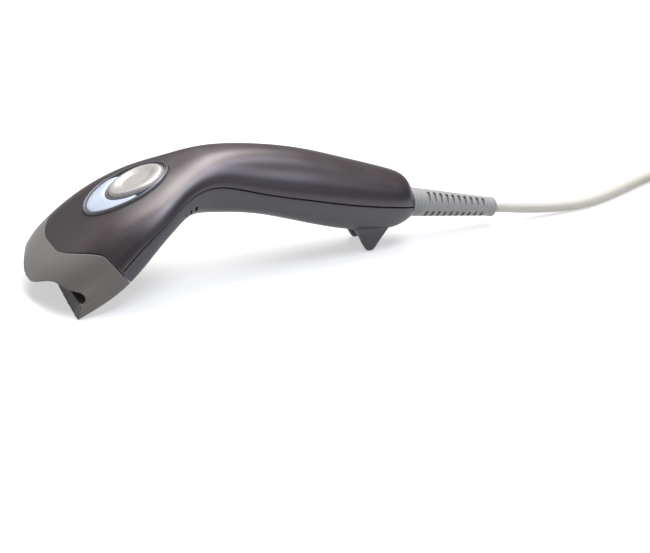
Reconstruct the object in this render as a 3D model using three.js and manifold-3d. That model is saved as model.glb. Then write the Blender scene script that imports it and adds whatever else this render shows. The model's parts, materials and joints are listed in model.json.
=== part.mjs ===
// Handheld barcode scanner, in millimetres, +Z up.
// Working frame while modelling: x = 0 at the front edge of the jaw, nose towards -x, cable towards +x,
// y = 0 on the middle plane, z = 0 on the table. At the end the group is shifted along x so that the
// origin lies at the middle of the scanner's own box.

import * as THREE from 'three';
import { mergeVertices } from 'three/addons/utils/BufferGeometryUtils.js';
import Module from 'manifold-3d';

const wasm = await Module();
wasm.setup();

// ---------------------------------------------------------------- driving dimensions

const GAP = 0.3; // clearance kept between neighbouring pieces
const WALL = 2.2; // housing wall
const NOSE_WALL = 2.0; // nose cover wall

// Stations of the body, nose to tail. Each is a flat cross-section between a point of the crown line
// (top) and a point of the belly line (belly), both in the side view as [x, z].
//   joint    share of the height at which the two housings meet
//   half     half width at the joint line
//   crown    half width of the narrower crown
//   shoulder height of the wider shoulder above the joint line
//   crownPow and bellyPow say how square the crown and the belly are (2 is an ellipse)
const STATIONS = [
  { top: [-14.5, 4], belly: [-9, -5], joint: 0.3, half: 37, crown: 31, shoulder: 8, crownPow: 2.6, bellyPow: 12 },
  { top: [-10, 15.8], belly: [0.5, -0.8], joint: 0.3, half: 37.3, crown: 31.5, shoulder: 9, crownPow: 2.1, bellyPow: 12 },
  { top: [-2.4, 23.4], belly: [11.5, 3.8], joint: 0.26, half: 37.4, crown: 33.8, shoulder: 9.5, crownPow: 3.5, bellyPow: 11 },
  { top: [9, 32.6], belly: [26, 10.8], joint: 0.33, half: 37.2, crown: 35, shoulder: 9.8, crownPow: 3.4, bellyPow: 7 },
  { top: [24, 42.5], belly: [41.5, 22.8], joint: 0.45, half: 36.2, crown: 33, shoulder: 10, crownPow: 3.3, bellyPow: 3.4 },
  { top: [43.5, 49.8], belly: [55.5, 31.2], joint: 0.52, half: 32, crown: 30, shoulder: 10.5, crownPow: 3.4, bellyPow: 2.5 },
  { top: [61, 56], belly: [64, 33.5], joint: 0.6, half: 22, crown: 20, shoulder: 9, crownPow: 3.2, bellyPow: 2.5 },
  { top: [77.5, 62], belly: [77, 30.5], joint: 0.61, half: 17.5, crown: 15, shoulder: 10.5, crownPow: 2.7, bellyPow: 2.5 },
  { top: [100.5, 60], belly: [97.5, 28.5], joint: 0.41, half: 19, crown: 15, shoulder: 13, crownPow: 2.4, bellyPow: 2.5 },
  { top: [125.5, 54.5], belly: [120.5, 20], joint: 0.45, half: 20, crown: 15.2, shoulder: 13.6, crownPow: 2.4, bellyPow: 2.5 },
  { top: [150, 45], belly: [144.5, 11.5], joint: 0.5, half: 19, crown: 15, shoulder: 13, crownPow: 2.4, bellyPow: 2.5 },
  { top: [172, 36.8], belly: [167, 7.3], joint: 0.54, half: 16.5, crown: 13.5, shoulder: 11, crownPow: 2.3, bellyPow: 2.4 },
  { top: [180, 33], belly: [176, 9.8], joint: 0.5, half: 14.2, crown: 12, shoulder: 10, crownPow: 2.2, bellyPow: 2.2 },
  { top: [181.8, 27.4], belly: [181.2, 12], joint: 0.46, half: 9.4, crown: 8.4, shoulder: 7.4, crownPow: 2.1, bellyPow: 2.1 },
];
const LAST = STATIONS.length - 1;
const SHOULDER_POW = 2.4;
const VALLEY = 18; // how tight the valley between crown and shoulder is

// Edge between nose cover and housings, in station units: a tongue at the middle, swept back at the sides.
const TONGUE_STATION = 2.07;
const TONGUE_SWEEP = 1.05;
const TONGUE_FLAT = 10; // degrees of turn from the middle that stay forward
const TONGUE_BLEND = 50; // degrees of turn over which the edge sweeps back

const JAW_HEIGHT = 7;
const JAW_LEAN = 1.7; // the jaw's front face leans back by this much over its height
const JAW_HOLLOW = 1.2; // its middle is set back by this much
const JAW_ARCH = 29; // half width of the low arch under the jaw

// Trigger, on the sloping head: a frame with X towards the tail and Z out of the housing.
const TRIGGER_AT = [37, 0, 46.7];
const TRIGGER_TILT = THREE.MathUtils.degToRad(22);
const BEZEL = [22.7, 16]; // half length and half width
const BEZEL_RIM = 1.8;
const BEZEL_PROUD = 1.5;
const BUTTON = [14.4, 11.2];
const BUTTON_X = 6;
const BUTTON_PROUD = 2.2;
const TRIGGER_TRAVEL = 1.2;

// Head and handle frames for the inner parts.
const HEAD_AT = [34, 0, 31];
const HEAD_TILT = Math.atan2(0.6, 0.8);
const HANDLE_AT = [122, 0, 34.5];
const HANDLE_TILT = THREE.MathUtils.degToRad(-15.5);

// Cable and what is on it.
const BOOT_FROM = [182.2, 0, 18.4];
const BOOT_TO = [227.5, 0, 8.8];
const BOOT_RADII = [7.2, 4.5];
const CABLE_RADIUS = 2.6;

const COLOURS = {
  housing: 0x4f4a48, nose: 0x7c7974, bezel: 0x5c5c60, lens: 0xc6d8ea, button: 0xa4a2a0, boot: 0x96968f,
  cable: 0xb8b3a9, board: 0x1f5a35, black: 0x17171a, steel: 0xb9bcc0, window: 0x6b1016, white: 0xf2f2ee,
  glass: 0xa9c8d8,
};

// ---------------------------------------------------------------- solids

const toManifold = (geometry) => {
  const bare = geometry.clone();
  bare.deleteAttribute('normal');
  bare.deleteAttribute('uv');
  const merged = mergeVertices(bare, 1e-4);
  return new wasm.Manifold(new wasm.Mesh({
    numProp: 3,
    vertProperties: new Float32Array(merged.attributes.position.array),
    triVerts: new Uint32Array(merged.index.array),
  }));
};

const toGeometry = (solid) => {
  const mesh = solid.getMesh();
  const geometry = new THREE.BufferGeometry();
  geometry.setAttribute('position', new THREE.BufferAttribute(new Float32Array(mesh.vertProperties), 3));
  geometry.setIndex(new THREE.BufferAttribute(new Uint32Array(mesh.triVerts), 1));
  geometry.computeVertexNormals();
  return geometry;
};

const union = (...solids) => solids.reduce((a, b) => a.add(b));
const cut = (solid, ...tools) => tools.reduce((a, b) => a.subtract(b), solid);

// A frame in the side view: X tilted up by `tilt` from +x, Z square to it, Y kept.
const frameAt = (at, tilt) => new THREE.Matrix4()
  .makeTranslation(...at)
  .multiply(new THREE.Matrix4().makeRotationY(-tilt));

const WORLD = new THREE.Matrix4();
const HEAD = frameAt(HEAD_AT, HEAD_TILT);
const HANDLE = frameAt(HANDLE_AT, HANDLE_TILT);
const TRIGGER = frameAt(TRIGGER_AT, TRIGGER_TILT);

const placed = (geometry, frame, at = [0, 0, 0]) => {
  const moved = geometry.clone().translate(...at);
  return toManifold(moved.applyMatrix4(frame));
};

// The same, with the faces turned round where they would look inwards.
const outward = (geometry, frame) => {
  const solid = placed(geometry, frame);
  if (solid.volume() > 0) return solid;
  const turned = geometry.clone();
  const index = Array.from(turned.index.array);
  for (let i = 0; i < index.length; i += 3) [index[i], index[i + 1]] = [index[i + 1], index[i]];
  turned.setIndex(index);
  return placed(turned, frame);
};

const box = (frame, size, at) => placed(new THREE.BoxGeometry(...size), frame, at);

// Round bar along the frame's Z (default), X or Y.
const bar = (frame, radius, length, at, axis = 'z', sides = 20, radiusTop = radius) => {
  const geometry = new THREE.CylinderGeometry(radiusTop, radius, length, sides);
  if (axis === 'z') geometry.rotateX(Math.PI / 2);
  if (axis === 'x') geometry.rotateZ(-Math.PI / 2);
  return placed(geometry, frame, at);
};

// A side-view outline of [x, z] points, extruded over y0..y1.
const extrudeAcross = (points, y0, y1) => {
  const shape = new THREE.Shape(points.map(([x, z]) => new THREE.Vector2(x, z)));
  const geometry = new THREE.ExtrudeGeometry(shape, { depth: y1 - y0, bevelEnabled: false });
  return toManifold(geometry.rotateX(Math.PI / 2).translate(0, y1, 0));
};

// A plan outline of [x, y] points, extruded over z0..z1 of a frame.
const extrudeUp = (frame, points, z0, z1) => {
  const shape = new THREE.Shape(points.map(([x, y]) => new THREE.Vector2(x, y)));
  const geometry = new THREE.ExtrudeGeometry(shape, { depth: z1 - z0, bevelEnabled: false });
  return placed(geometry, frame, [0, 0, z0]);
};

const ovalPoints = (halfLength, halfWidth, centreX = 0, sides = 30) => Array.from({ length: sides }, (_, i) => {
  const a = (i / sides) * 2 * Math.PI;
  return [centreX + halfLength * Math.cos(a), halfWidth * Math.sin(a)];
});

const oval = (frame, halfLength, halfWidth, z0, z1, centreX = 0, sides = 30) =>
  extrudeUp(frame, ovalPoints(halfLength, halfWidth, centreX, sides), z0, z1);

// ---------------------------------------------------------------- body surface

const spline = (a, b, c, d, t) => {
  const s = 1 - t;
  return (s ** 3 * a + (3 * t ** 3 - 6 * t ** 2 + 4) * b + (-3 * t ** 3 + 3 * t ** 2 + 3 * t + 1) * c + t ** 3 * d) / 6;
};

// Value of one station measure at a fractional station, on a cubic B-spline that ends at the end stations.
const measure = (pick, station) => {
  const i = THREE.MathUtils.clamp(Math.floor(station), 0, LAST - 1);
  const at = (k) => {
    if (k < 0) return 2 * pick(STATIONS[0]) - pick(STATIONS[1]);
    if (k > LAST) return 2 * pick(STATIONS[LAST]) - pick(STATIONS[LAST - 1]);
    return pick(STATIONS[k]);
  };
  return spline(at(i - 1), at(i), at(i + 1), at(i + 2), station - i);
};

const oval2 = (angle, a, b, power) =>
  (Math.abs(Math.cos(angle) / a) ** power + Math.abs(Math.sin(angle) / b) ** power) ** (-1 / power);

// The flat cross-section at a station: its origin on the joint line, its up direction and its measures.
const sectionAt = (station) => {
  const top = new THREE.Vector2(measure((s) => s.top[0], station), measure((s) => s.top[1], station));
  const belly = new THREE.Vector2(measure((s) => s.belly[0], station), measure((s) => s.belly[1], station));
  const joint = measure((s) => s.joint, station);
  const up = top.clone().sub(belly);
  const height = up.length();
  up.normalize();
  return {
    origin: belly.clone().addScaledVector(up, height * joint),
    up,
    above: height * (1 - joint),
    below: height * joint,
    half: measure((s) => s.half, station),
    crown: measure((s) => s.crown, station),
    shoulder: measure((s) => s.shoulder, station),
    crownPow: measure((s) => s.crownPow, station),
    bellyPow: measure((s) => s.bellyPow, station),
  };
};

// Polar angle of a turn round an oval of the given height and width.
const polar = (turn, height, width) => {
  const a = THREE.MathUtils.degToRad(turn);
  return Math.atan2(height * Math.sin(a), width * Math.cos(a));
};

// Point of the body's skin at a station and a turn in degrees (0 near side, 90 crown, 180 far side,
// 270 belly), moved inwards by `inset`.
const skin = (station, turn, inset = 0) => {
  const s = sectionAt(station);
  const upper = turn <= 180;
  const angle = polar(turn, upper ? s.above : s.below, s.half);
  let radius;
  if (upper) {
    const crown = oval2(angle, s.crown - inset, s.above - inset, s.crownPow);
    const shoulder = oval2(angle, s.half - inset, s.shoulder - inset, SHOULDER_POW);
    radius = (crown ** VALLEY + shoulder ** VALLEY) ** (1 / VALLEY);
  } else {
    radius = oval2(angle, s.half - inset, s.below - inset, s.bellyPow);
  }
  const rise = radius * Math.sin(angle);
  return [s.origin.x + s.up.x * rise, -radius * Math.cos(angle), s.origin.y + s.up.y * rise];
};

// Angles around a section, closer together at the sides, where the skin turns fast.
const QUARTER = [0, 10, 20, 30, 40, 55, 72];
const AROUND = [...QUARTER, 90, ...QUARTER.slice(1).map((d) => 180 - d).reverse(), 180,
  194, 208, 221, 232, 246, 270, 294, 308, 319, 332, 346];
const COARSE = [0, 16, 32, 45, 65, 90, 115, 135, 148, 164, 180, 200, 218, 236, 270, 304, 322, 340];

// Closed solid of the body between two stations. Either end may depend on the angle.
const bodySolid = (from, to, steps, inset = 0, around = AROUND) => {
  const start = typeof from === 'function' ? from : () => from;
  const end = typeof to === 'function' ? to : () => to;
  const n = around.length;
  const points = [];
  for (let i = 0; i <= steps; i += 1) {
    for (const degrees of around) {
      const a = start(degrees);
      const b = end(degrees);
      points.push(skin(a + ((b - a) * i) / steps, degrees, inset));
    }
  }
  const middle = (stationOf) => {
    const mean = around.reduce((sum, d) => sum + stationOf(d), 0) / n;
    const { origin } = sectionAt(mean);
    return [origin.x, 0, origin.y];
  };
  points.push(middle(start), middle(end));
  const index = [];
  const first = points.length - 2;
  for (let j = 0; j < n; j += 1) {
    const k = (j + 1) % n;
    for (let i = 0; i < steps; i += 1) {
      const a = i * n + j;
      const b = i * n + k;
      index.push(a, b, a + n, b, b + n, a + n);
    }
    index.push(first, k, j);
    index.push(first + 1, steps * n + j, steps * n + k);
  }
  const geometry = new THREE.BufferGeometry();
  geometry.setAttribute('position', new THREE.Float32BufferAttribute(points.flat(), 3));
  geometry.setIndex(index);
  return outward(geometry, WORLD);
};

const smooth = (x) => THREE.MathUtils.smoothstep(x, 0, 1);

// Station of the nose cover's rear edge at a turn round the body.
const noseEdge = (turn) => {
  if (turn > 180) return TONGUE_STATION + TONGUE_SWEEP;
  return TONGUE_STATION + TONGUE_SWEEP * smooth((Math.abs(90 - turn) - TONGUE_FLAT) / TONGUE_BLEND);
};

// Side-view points of the joint line, moved up or down by `shift`.
const jointLine = (shift, from = 1, to = LAST) => {
  const points = [];
  for (let s = from; s <= to + 0.001; s += 0.25) {
    const { origin } = sectionAt(s);
    points.push([origin.x, origin.y + shift]);
  }
  return points;
};

const WIDE = 60;
const aboveJoint = () => {
  const line = jointLine(GAP / 2);
  return extrudeAcross([[-40, line[0][1]], ...line, [200, line.at(-1)[1]], [200, 90], [-40, 90]], -WIDE, WIDE);
};
const belowJoint = () => {
  const line = jointLine(-GAP / 2);
  return extrudeAcross([[-40, line[0][1]], [-40, -30], [200, -30], [200, line.at(-1)[1]], ...line.reverse()], -WIDE, WIDE);
};

// ---------------------------------------------------------------- shared blanks

const OUTER = bodySolid(0, LAST, 32);
const TAIL_WALL_STATION = 12.1;
const CAVITY = bodySolid(0, TAIL_WALL_STATION, 20, WALL, COARSE);
const EDGE_GAP = 0.012; // half of the gap at the nose cover's edge, in stations
const NOSE_SIDE = bodySolid(-0.2, (d) => noseEdge(d) - EDGE_GAP, 3, -5);
const HOUSING_SIDE_CUT = bodySolid(-0.2, (d) => noseEdge(d) + EDGE_GAP, 3, -5);
const BOOT_DIRECTION = new THREE.Vector3(...BOOT_TO).sub(new THREE.Vector3(...BOOT_FROM)).normalize();
const BOOT_TILT = Math.asin(BOOT_DIRECTION.z);
const BOOT = frameAt(BOOT_FROM, BOOT_TILT);

// Housing screws: [x on the joint line, station] with a frame whose Z runs along the section.
const screwFrame = (station) => {
  const { origin, up } = sectionAt(station);
  return frameAt([origin.x, 0, origin.y], -Math.atan2(up.x, up.y));
};
const HOUSING_SCREWS = { front: screwFrame(7.1), rear: screwFrame(10.62) };
const BOSS_RADIUS = 3.2;
const SCREW_LENGTH = 15;
const SCREW_SEAT = 5.6; // the head's underside lies this far below the joint line

// ---------------------------------------------------------------- housings and nose

const upperHousing = () => {
  const shell = OUTER.subtract(CAVITY);
  const bosses = union(...Object.values(HOUSING_SCREWS).map((f) => bar(f, BOSS_RADIUS, 30, [0, 0, 15.2], 'z', 16)));
  const pilots = Object.values(HOUSING_SCREWS).map((f) => bar(f, 1.35, 12, [0, 0, 5.9], 'z', 12));
  const inner = bodySolid(6, TAIL_WALL_STATION + 0.3, 12, WALL / 2, COARSE);
  const solid = union(shell, bosses.intersect(inner));
  return cut(solid.intersect(aboveJoint()), HOUSING_SIDE_CUT, ...pilots,
    oval(TRIGGER, BEZEL[0] + GAP, BEZEL[1] + GAP, -8, 20),
    bar(BOOT, 5.2, 30, [-8, 0, 0], 'x', 20));
};

const LEG_THICKNESS = 3.4;
const LEG_Y = 9.4;
const legs = () => {
  const outline = [[145, 18], [149.6, 12.6], [151.8, 8.4], [153.7, 4], [155.7, 0.4], [156.6, 0], [159, 0], [160, 0.5],
    [168.5, 13], [168.5, 17]];
  return [-LEG_Y, LEG_Y].map((y) => extrudeAcross(outline, y - LEG_THICKNESS / 2, y + LEG_THICKNESS / 2));
};

// Three tear-shaped sound holes on each side of the neck, growing towards the tail.
const soundHoles = () => {
  const holes = [];
  for (const side of [-1, 1]) {
    [[59.2, 38.6, 0.7], [62, 39.4, 0.9], [65.2, 39.8, 1.1]].forEach(([x, z, size]) => {
      const tear = ovalPoints(size, size * 1.5, 0, 10);
      const frame = frameAt([x, 0, z], 0).multiply(new THREE.Matrix4().makeRotationX(Math.PI / 2));
      holes.push(side < 0 ? extrudeUp(frame, tear, 8, 30) : extrudeUp(frame, tear, -30, -8));
    });
  }
  return holes;
};

const lowerHousing = () => {
  const shell = OUTER.subtract(CAVITY);
  const bosses = union(...Object.values(HOUSING_SCREWS).map((f) => bar(f, BOSS_RADIUS, 30, [0, 0, -15.2], 'z', 16)));
  const posts = union(
    ...EAR_Y.map((y) => bar(HEAD, 2.3, 8, [OPTICS.chassisBack + 2.4, y, OPTICS.chassisLow - GAP - 4], 'z', 10)),
    ...BOARD_SCREWS.map(([x, y]) => bar(HANDLE, 2.4, 24, [x, y, -0.8 - GAP - 12], 'z', 10)),
    ...CLAMP_Y.map((y) => bar(BOOT, 2.2, 20, [CLAMP_X, y, -3.8 - GAP - 10], 'z', 10)),
  );
  const pilots = [
    ...EAR_Y.map((y) => bar(HEAD, 1.3, 4.4, [OPTICS.chassisBack + 2.4, y, OPTICS.chassisLow - 1.6], 'z', 10)),
    ...BOARD_SCREWS.map(([x, y]) => bar(HANDLE, 1.4, 8, [x, y, -3], 'z', 10)),
    ...CLAMP_Y.map((y) => bar(BOOT, 1.3, 5, [CLAMP_X, y, -5.4], 'z', 10)),
  ];
  const room = bodySolid(3.2, TAIL_WALL_STATION, 16, WALL / 2, COARSE);
  const fins = union(...legs()).subtract(bodySolid(9, 12, 6, WALL / 2, COARSE));
  const shafts = Object.values(HOUSING_SCREWS).map((f) => bar(f, 1.5, 30, [0, 0, 0], 'z', 12));
  const seats = Object.values(HOUSING_SCREWS).map((f) => bar(f, 2.7, 30, [0, 0, -15 - SCREW_SEAT], 'z', 16));
  const solid = union(shell.intersect(belowJoint()), bosses.intersect(room).intersect(belowJoint()),
    posts.intersect(room), fins);
  return cut(solid, HOUSING_SIDE_CUT, ...shafts, ...seats, ...pilots, ...soundHoles(),
    bar(BOOT, 5.2, 30, [-8, 0, 0], 'x', 20));
};

// Front-view outline of the mouth: flat over the jaw, rounded at the ends, wavy under the visor.
const MOUTH_END = 38;
const visorEdge = (y) => {
  const a = Math.abs(y);
  const lobe = 8.4 + 6.2 * smooth((a - 2) / 22);
  const drop = 2.1 * smooth((a - 25) / 8);
  return lobe - drop;
};
const mouth = () => {
  const top = [];
  for (let y = -MOUTH_END; y <= MOUTH_END; y += 3.8) top.push([y, visorEdge(y)]);
  const shape = new THREE.Shape([[-MOUTH_END, JAW_HEIGHT], [MOUTH_END, JAW_HEIGHT], ...top.reverse()]
    .map(([y, z]) => new THREE.Vector2(y, z)));
  const geometry = new THREE.ExtrudeGeometry(shape, { depth: 60, bevelEnabled: false });
  // outline y -> y, outline z -> z, depth along -x
  const turned = geometry.applyMatrix4(new THREE.Matrix4().makeBasis(
    new THREE.Vector3(0, 1, 0), new THREE.Vector3(0, 0, 1), new THREE.Vector3(1, 0, 0),
  ));
  return toManifold(turned.translate(-60, 0, 0));
};

// The rounded ends of the mouth run a few millimetres back into the cheeks.
const CHEEK = 30;
const mouthEnds = () => {
  const outline = [[-1, JAW_HEIGHT], [2.6, JAW_HEIGHT + 0.2], [4, 8.2], [4.7, 9.8], [4.1, 11.2], [2.4, 12.2], [-1, 12.8]];
  return union(extrudeAcross(outline, -WIDE, -CHEEK), extrudeAcross(outline, CHEEK, WIDE));
};

// Everything in front of the hollow front face of the jaw, up to the jaw's height.
const jawFace = () => {
  const points = [];
  for (let y = -42; y <= 42; y += 6) points.push([JAW_HOLLOW * Math.max(0, 1 - (y / 37) ** 2), y]);
  points.push([-40, 42], [-40, -42]);
  const lean = new THREE.Matrix4().set(1, 0, JAW_LEAN / JAW_HEIGHT, 0, 0, 1, 0, 0, 0, 0, 1, 0, 0, 0, 0, 1);
  return extrudeUp(lean, points, -20, JAW_HEIGHT + 0.05);
};

// A low arch under the jaw, from one flat foot at its corner to the other.
const jawArch = () => {
  const points = [[-JAW_ARCH, -20], [JAW_ARCH, -20]];
  for (let y = JAW_ARCH; y >= -JAW_ARCH; y -= JAW_ARCH / 8) {
    const u = 1 - Math.abs(y) / JAW_ARCH;
    points.push([y, 0.99 * u + 1.83 * u ** 2]);
  }
  const acrossFrame = new THREE.Matrix4().makeBasis(
    new THREE.Vector3(0, 1, 0), new THREE.Vector3(0, 0, 1), new THREE.Vector3(1, 0, 0),
  );
  return extrudeUp(acrossFrame, points, -30, 24);
};

const noseCover = () => {
  const inside = bodySolid(0, 6, 10, NOSE_WALL, COARSE);
  const jawWall = extrudeAcross([[-40, -20], [6.8, -20], [8.2, JAW_HEIGHT], [-40, JAW_HEIGHT]], -WIDE, WIDE);
  const blank = OUTER.subtract(inside.subtract(jawWall)).intersect(NOSE_SIDE);
  const underTable = box(WORLD, [80, 100, 20], [0, 0, -10]);
  return cut(blank, mouth(), mouthEnds(), jawFace(), jawArch(), underTable);
};

// ---------------------------------------------------------------- trigger

const LOCAL_AROUND = [0, 25, 38, 50, 60, 70, 80, 90, 100, 110, 120, 130, 142, 155, 180, 270];
const localBody = (inset) => bodySolid(2.6, 6.6, 9, inset, LOCAL_AROUND);

const LENS_INNER = [17.4, 13.6];
const LENS_HORN_X = -4.5;
const lensPrism = (grow) => {
  const outer = oval(TRIGGER, BEZEL[0] - BEZEL_RIM - 0.4 + grow, BEZEL[1] - BEZEL_RIM - 0.4 + grow, -12, 12);
  const inner = oval(TRIGGER, LENS_INNER[0] - grow, LENS_INNER[1] - grow, -13, 13, BUTTON_X);
  const back = box(TRIGGER, [40, 40, 30], [20 + LENS_HORN_X + grow, 0, 0]);
  return cut(outer, inner, back);
};

const FLANGE = 1.4;
const triggerBezel = () => {
  const blank = oval(TRIGGER, ...BEZEL, -12, 12)
    .intersect(localBody(-BEZEL_PROUD)).subtract(localBody(WALL + FLANGE));
  const well = oval(TRIGGER, BEZEL[0] - BEZEL_RIM, BEZEL[1] - BEZEL_RIM, -13, 13).subtract(localBody(0.7));
  const under = localBody(WALL + GAP + 0.2);
  const flange = oval(TRIGGER, BEZEL[0] + 1.8, BEZEL[1] + 1.6, -12, 12)
    .intersect(under).subtract(localBody(WALL + FLANGE));
  const hole = oval(TRIGGER, BUTTON[0] + 0.35, BUTTON[1] + 0.35, -13, 13, BUTTON_X);
  const posts = union(...TRIGGER_SCREWS.map(([x, y]) => bar(TRIGGER, 1.8, 12, [x, y, TRIGGER_BOARD_Z + 6.9], 'z', 10)));
  const pilots = TRIGGER_SCREWS.map(([x, y]) => bar(TRIGGER, 1.2, 6, [x, y, TRIGGER_BOARD_Z + 3], 'z', 8));
  return cut(union(cut(union(blank, flange), hole), posts.intersect(under)), well, lensPrism(GAP), ...pilots);
};

const indicatorLens = () => lensPrism(0).intersect(localBody(-0.5)).subtract(localBody(2.6));

const BUTTON_UNDER = 1.2;
const STEM_END = -5;
const triggerButton = () => {
  const cap = oval(TRIGGER, ...BUTTON, -12, 12, BUTTON_X)
    .intersect(localBody(-BUTTON_PROUD)).subtract(localBody(BUTTON_UNDER));
  const dish = new THREE.SphereGeometry(1, 16, 10).scale(BUTTON[0] * 1.05, BUTTON[1] * 1.1, 3.4);
  const skirt = oval(TRIGGER, ...BUTTON, -3.8, 3, BUTTON_X)
    .subtract(oval(TRIGGER, BUTTON[0] - 1.4, BUTTON[1] - 1.4, -5, 5, BUTTON_X))
    .intersect(localBody(BUTTON_UNDER - 0.5));
  const stem = bar(TRIGGER, 1.6, 6, [BUTTON_X, 0, STEM_END + 3], 'z', 14);
  return union(cut(cap, placed(dish, TRIGGER, [BUTTON_X + 1, 0, 5.4])), skirt, stem);
};

// Helical wire between two heights of the trigger frame.
const SPRING = { radius: 2.7, wire: 0.35, turns: 4, perTurn: 10, low: -6.2, high: -1.4 };
const returnSpring = () => {
  const points = [];
  const steps = SPRING.turns * SPRING.perTurn;
  for (let i = 0; i <= steps; i += 1) {
    const a = (i / SPRING.perTurn) * 2 * Math.PI;
    const z = SPRING.low + ((SPRING.high - SPRING.low) * i) / steps;
    points.push(new THREE.Vector3(SPRING.radius * Math.cos(a), SPRING.radius * Math.sin(a), z));
  }
  return sweep(points, SPRING.wire, 5, steps).applyMatrix4(TRIGGER.clone().multiply(
    new THREE.Matrix4().makeTranslation(BUTTON_X, 0, 0),
  ));
};

const SWITCH_TOP = -6.8;
const triggerSwitch = () => cut(
  box(TRIGGER, [12, 12, 3.6], [BUTTON_X, 0, SWITCH_TOP - 1.8]),
  bar(TRIGGER, 2.1, 3.4, [BUTTON_X, 0, SWITCH_TOP - 1.2], 'z', 16),
);
const switchPlunger = () => bar(TRIGGER, 1.8, 2.8, [BUTTON_X, 0, STEM_END - GAP - 1.4], 'z', 16);
const TRIGGER_BOARD_Z = SWITCH_TOP - 4.5;
const TRIGGER_SCREWS = [[6, 13.4], [6, -13.4]];
const triggerBoard = () => {
  const board = box(TRIGGER, [25, 31, 1.2], [9.5, 0, TRIGGER_BOARD_Z]);
  return cut(board, ...TRIGGER_SCREWS.map(([x, y]) => bar(TRIGGER, 1.3, 4, [x, y, TRIGGER_BOARD_Z], 'z', 10)));
};
const triggerBoardScrew = (x, y) => {
  const upside = TRIGGER.clone().multiply(new THREE.Matrix4().makeRotationX(Math.PI));
  return screw(upside, [x, -y, -TRIGGER_BOARD_Z + 0.9], 1, 5, 1.9);
};
const statusBoard = () => box(TRIGGER, [8, 16, 1], [-14, 0, -8.3]);
const statusDiode = (y) => bar(TRIGGER, 1.5, 3, [-14, y, -6], 'z', 12);

// ---------------------------------------------------------------- optics, in the head frame

const OPTICS = {
  windowX: -29.25, window: [1.5, 53, 10.2], windowZ: 0.5,
  gasketX: -27.45, gasket: [1.5, 55.6, 12.4], gasketHole: [3, 49, 7.4],
  chassisFront: -26.3, chassisBack: -4.4, chassisHalf: 24, chassisLow: -6.6, chassisHigh: 4,
  chassisWall: 1.4, lensZ: -0.6,
};

const EAR_Y = [-20.6, 20.6];

const scanWindow = () => box(HEAD, OPTICS.window, [OPTICS.windowX, 0, OPTICS.windowZ]);
const windowGasket = () => cut(
  box(HEAD, OPTICS.gasket, [OPTICS.gasketX, 0, OPTICS.windowZ]),
  box(HEAD, OPTICS.gasketHole, [OPTICS.gasketX, 0, OPTICS.windowZ]),
);

const opticsChassis = () => {
  const o = OPTICS;
  const length = o.chassisBack - o.chassisFront;
  const middle = (o.chassisBack + o.chassisFront) / 2;
  const height = o.chassisHigh - o.chassisLow;
  const midZ = (o.chassisHigh + o.chassisLow) / 2;
  const block = box(HEAD, [length, 2 * o.chassisHalf, height], [middle, 0, midZ]);
  const hollow = box(HEAD, [length, 2 * (o.chassisHalf - o.chassisWall), height],
    [middle - 1.6, 0, midZ + o.chassisWall]);
  const lensHole = bar(HEAD, 4.3, 6, [o.chassisBack - 1, 0, o.lensZ], 'x', 20);
  const cradle = cut(
    box(HEAD, [3, 12, 5.4], [o.chassisBack - 5, 0, o.chassisLow + 2.8]),
    bar(HEAD, 4.3, 10, [o.chassisBack - 5, 0, o.lensZ], 'x', 20),
  );
  const ears = EAR_Y.map((y) => box(HEAD, [5, 6, 1.4], [o.chassisBack + 2, y, o.chassisLow + 0.7]));
  const earHoles = EAR_Y.map((y) => bar(HEAD, 1.3, 5, [o.chassisBack + 2.4, y, o.chassisLow], 'z', 10));
  return cut(union(block.subtract(hollow), cradle, ...ears), lensHole, ...earHoles);
};
const chassisScrew = (y) => screw(HEAD, [OPTICS.chassisBack + 2.4, y, OPTICS.chassisLow + 1.7], 1, 3.6, 1.9);

const lensBarrel = () => cut(
  bar(HEAD, 4, 8.4, [-8.6, 0, OPTICS.lensZ], 'x', 20),
  bar(HEAD, 2.9, 12, [-8.6, 0, OPTICS.lensZ], 'x', 16),
);
const lens = () => bar(HEAD, 2.6, 2.2, [-10.6, 0, OPTICS.lensZ], 'x', 16);
const imageSensor = () => box(HEAD, [2, 30, 6], [-2.4, 0, OPTICS.lensZ]);
const sensorBoard = () => box(HEAD, [1.2, 34, 10.6], [-0.4, 0, -0.8]);
const illuminationBoard = () => box(HEAD, [13, 46, 1.2], [-19.4, 0, 5]);
const illuminationDiode = (y) => bar(HEAD, 1.3, 4, [-24, y, 2.7], 'x', 12);

// ---------------------------------------------------------------- electronics, in the handle frame

const BOARD_SCREWS = [[-33, 9.5], [-33, -9.5], [16, 9.5]];
const mainBoard = () => {
  const board = box(HANDLE, [70, 26, 1.6], [-1, 0, 0]);
  return cut(board, ...BOARD_SCREWS.map(([x, y]) => bar(HANDLE, 1.4, 4, [x, y, 0], 'z', 10)));
};
const boardScrew = (x, y) => screw(HANDLE, [x, y, 1.1], 1.1, 5, 2.1);
const decoderChip = () => box(HANDLE, [14, 14, 1.6], [-2, 0, 1.9]);
const memoryChip = () => box(HANDLE, [8, 6, 1.4], [12, -4, 1.8]);
const beeper = () => cut(
  bar(HANDLE, 6, 5, [-20, 0, 3.6], 'z', 24),
  bar(HANDLE, 1, 3, [-20, 0, 6], 'z', 10),
);
const cableHeader = () => cut(
  box(HANDLE, [6, 14, 4.4], [26, 0, 3.3]),
  box(HANDLE, [5, 11.4, 3], [27.2, 0, 3.3]),
);
const cableConnector = () => union(
  box(HANDLE, [5, 13, 3.6], [31.9, 0, 3.3]),
  box(HANDLE, [5, 10.6, 2.2], [27.9, 0, 3.3]),
);

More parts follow.
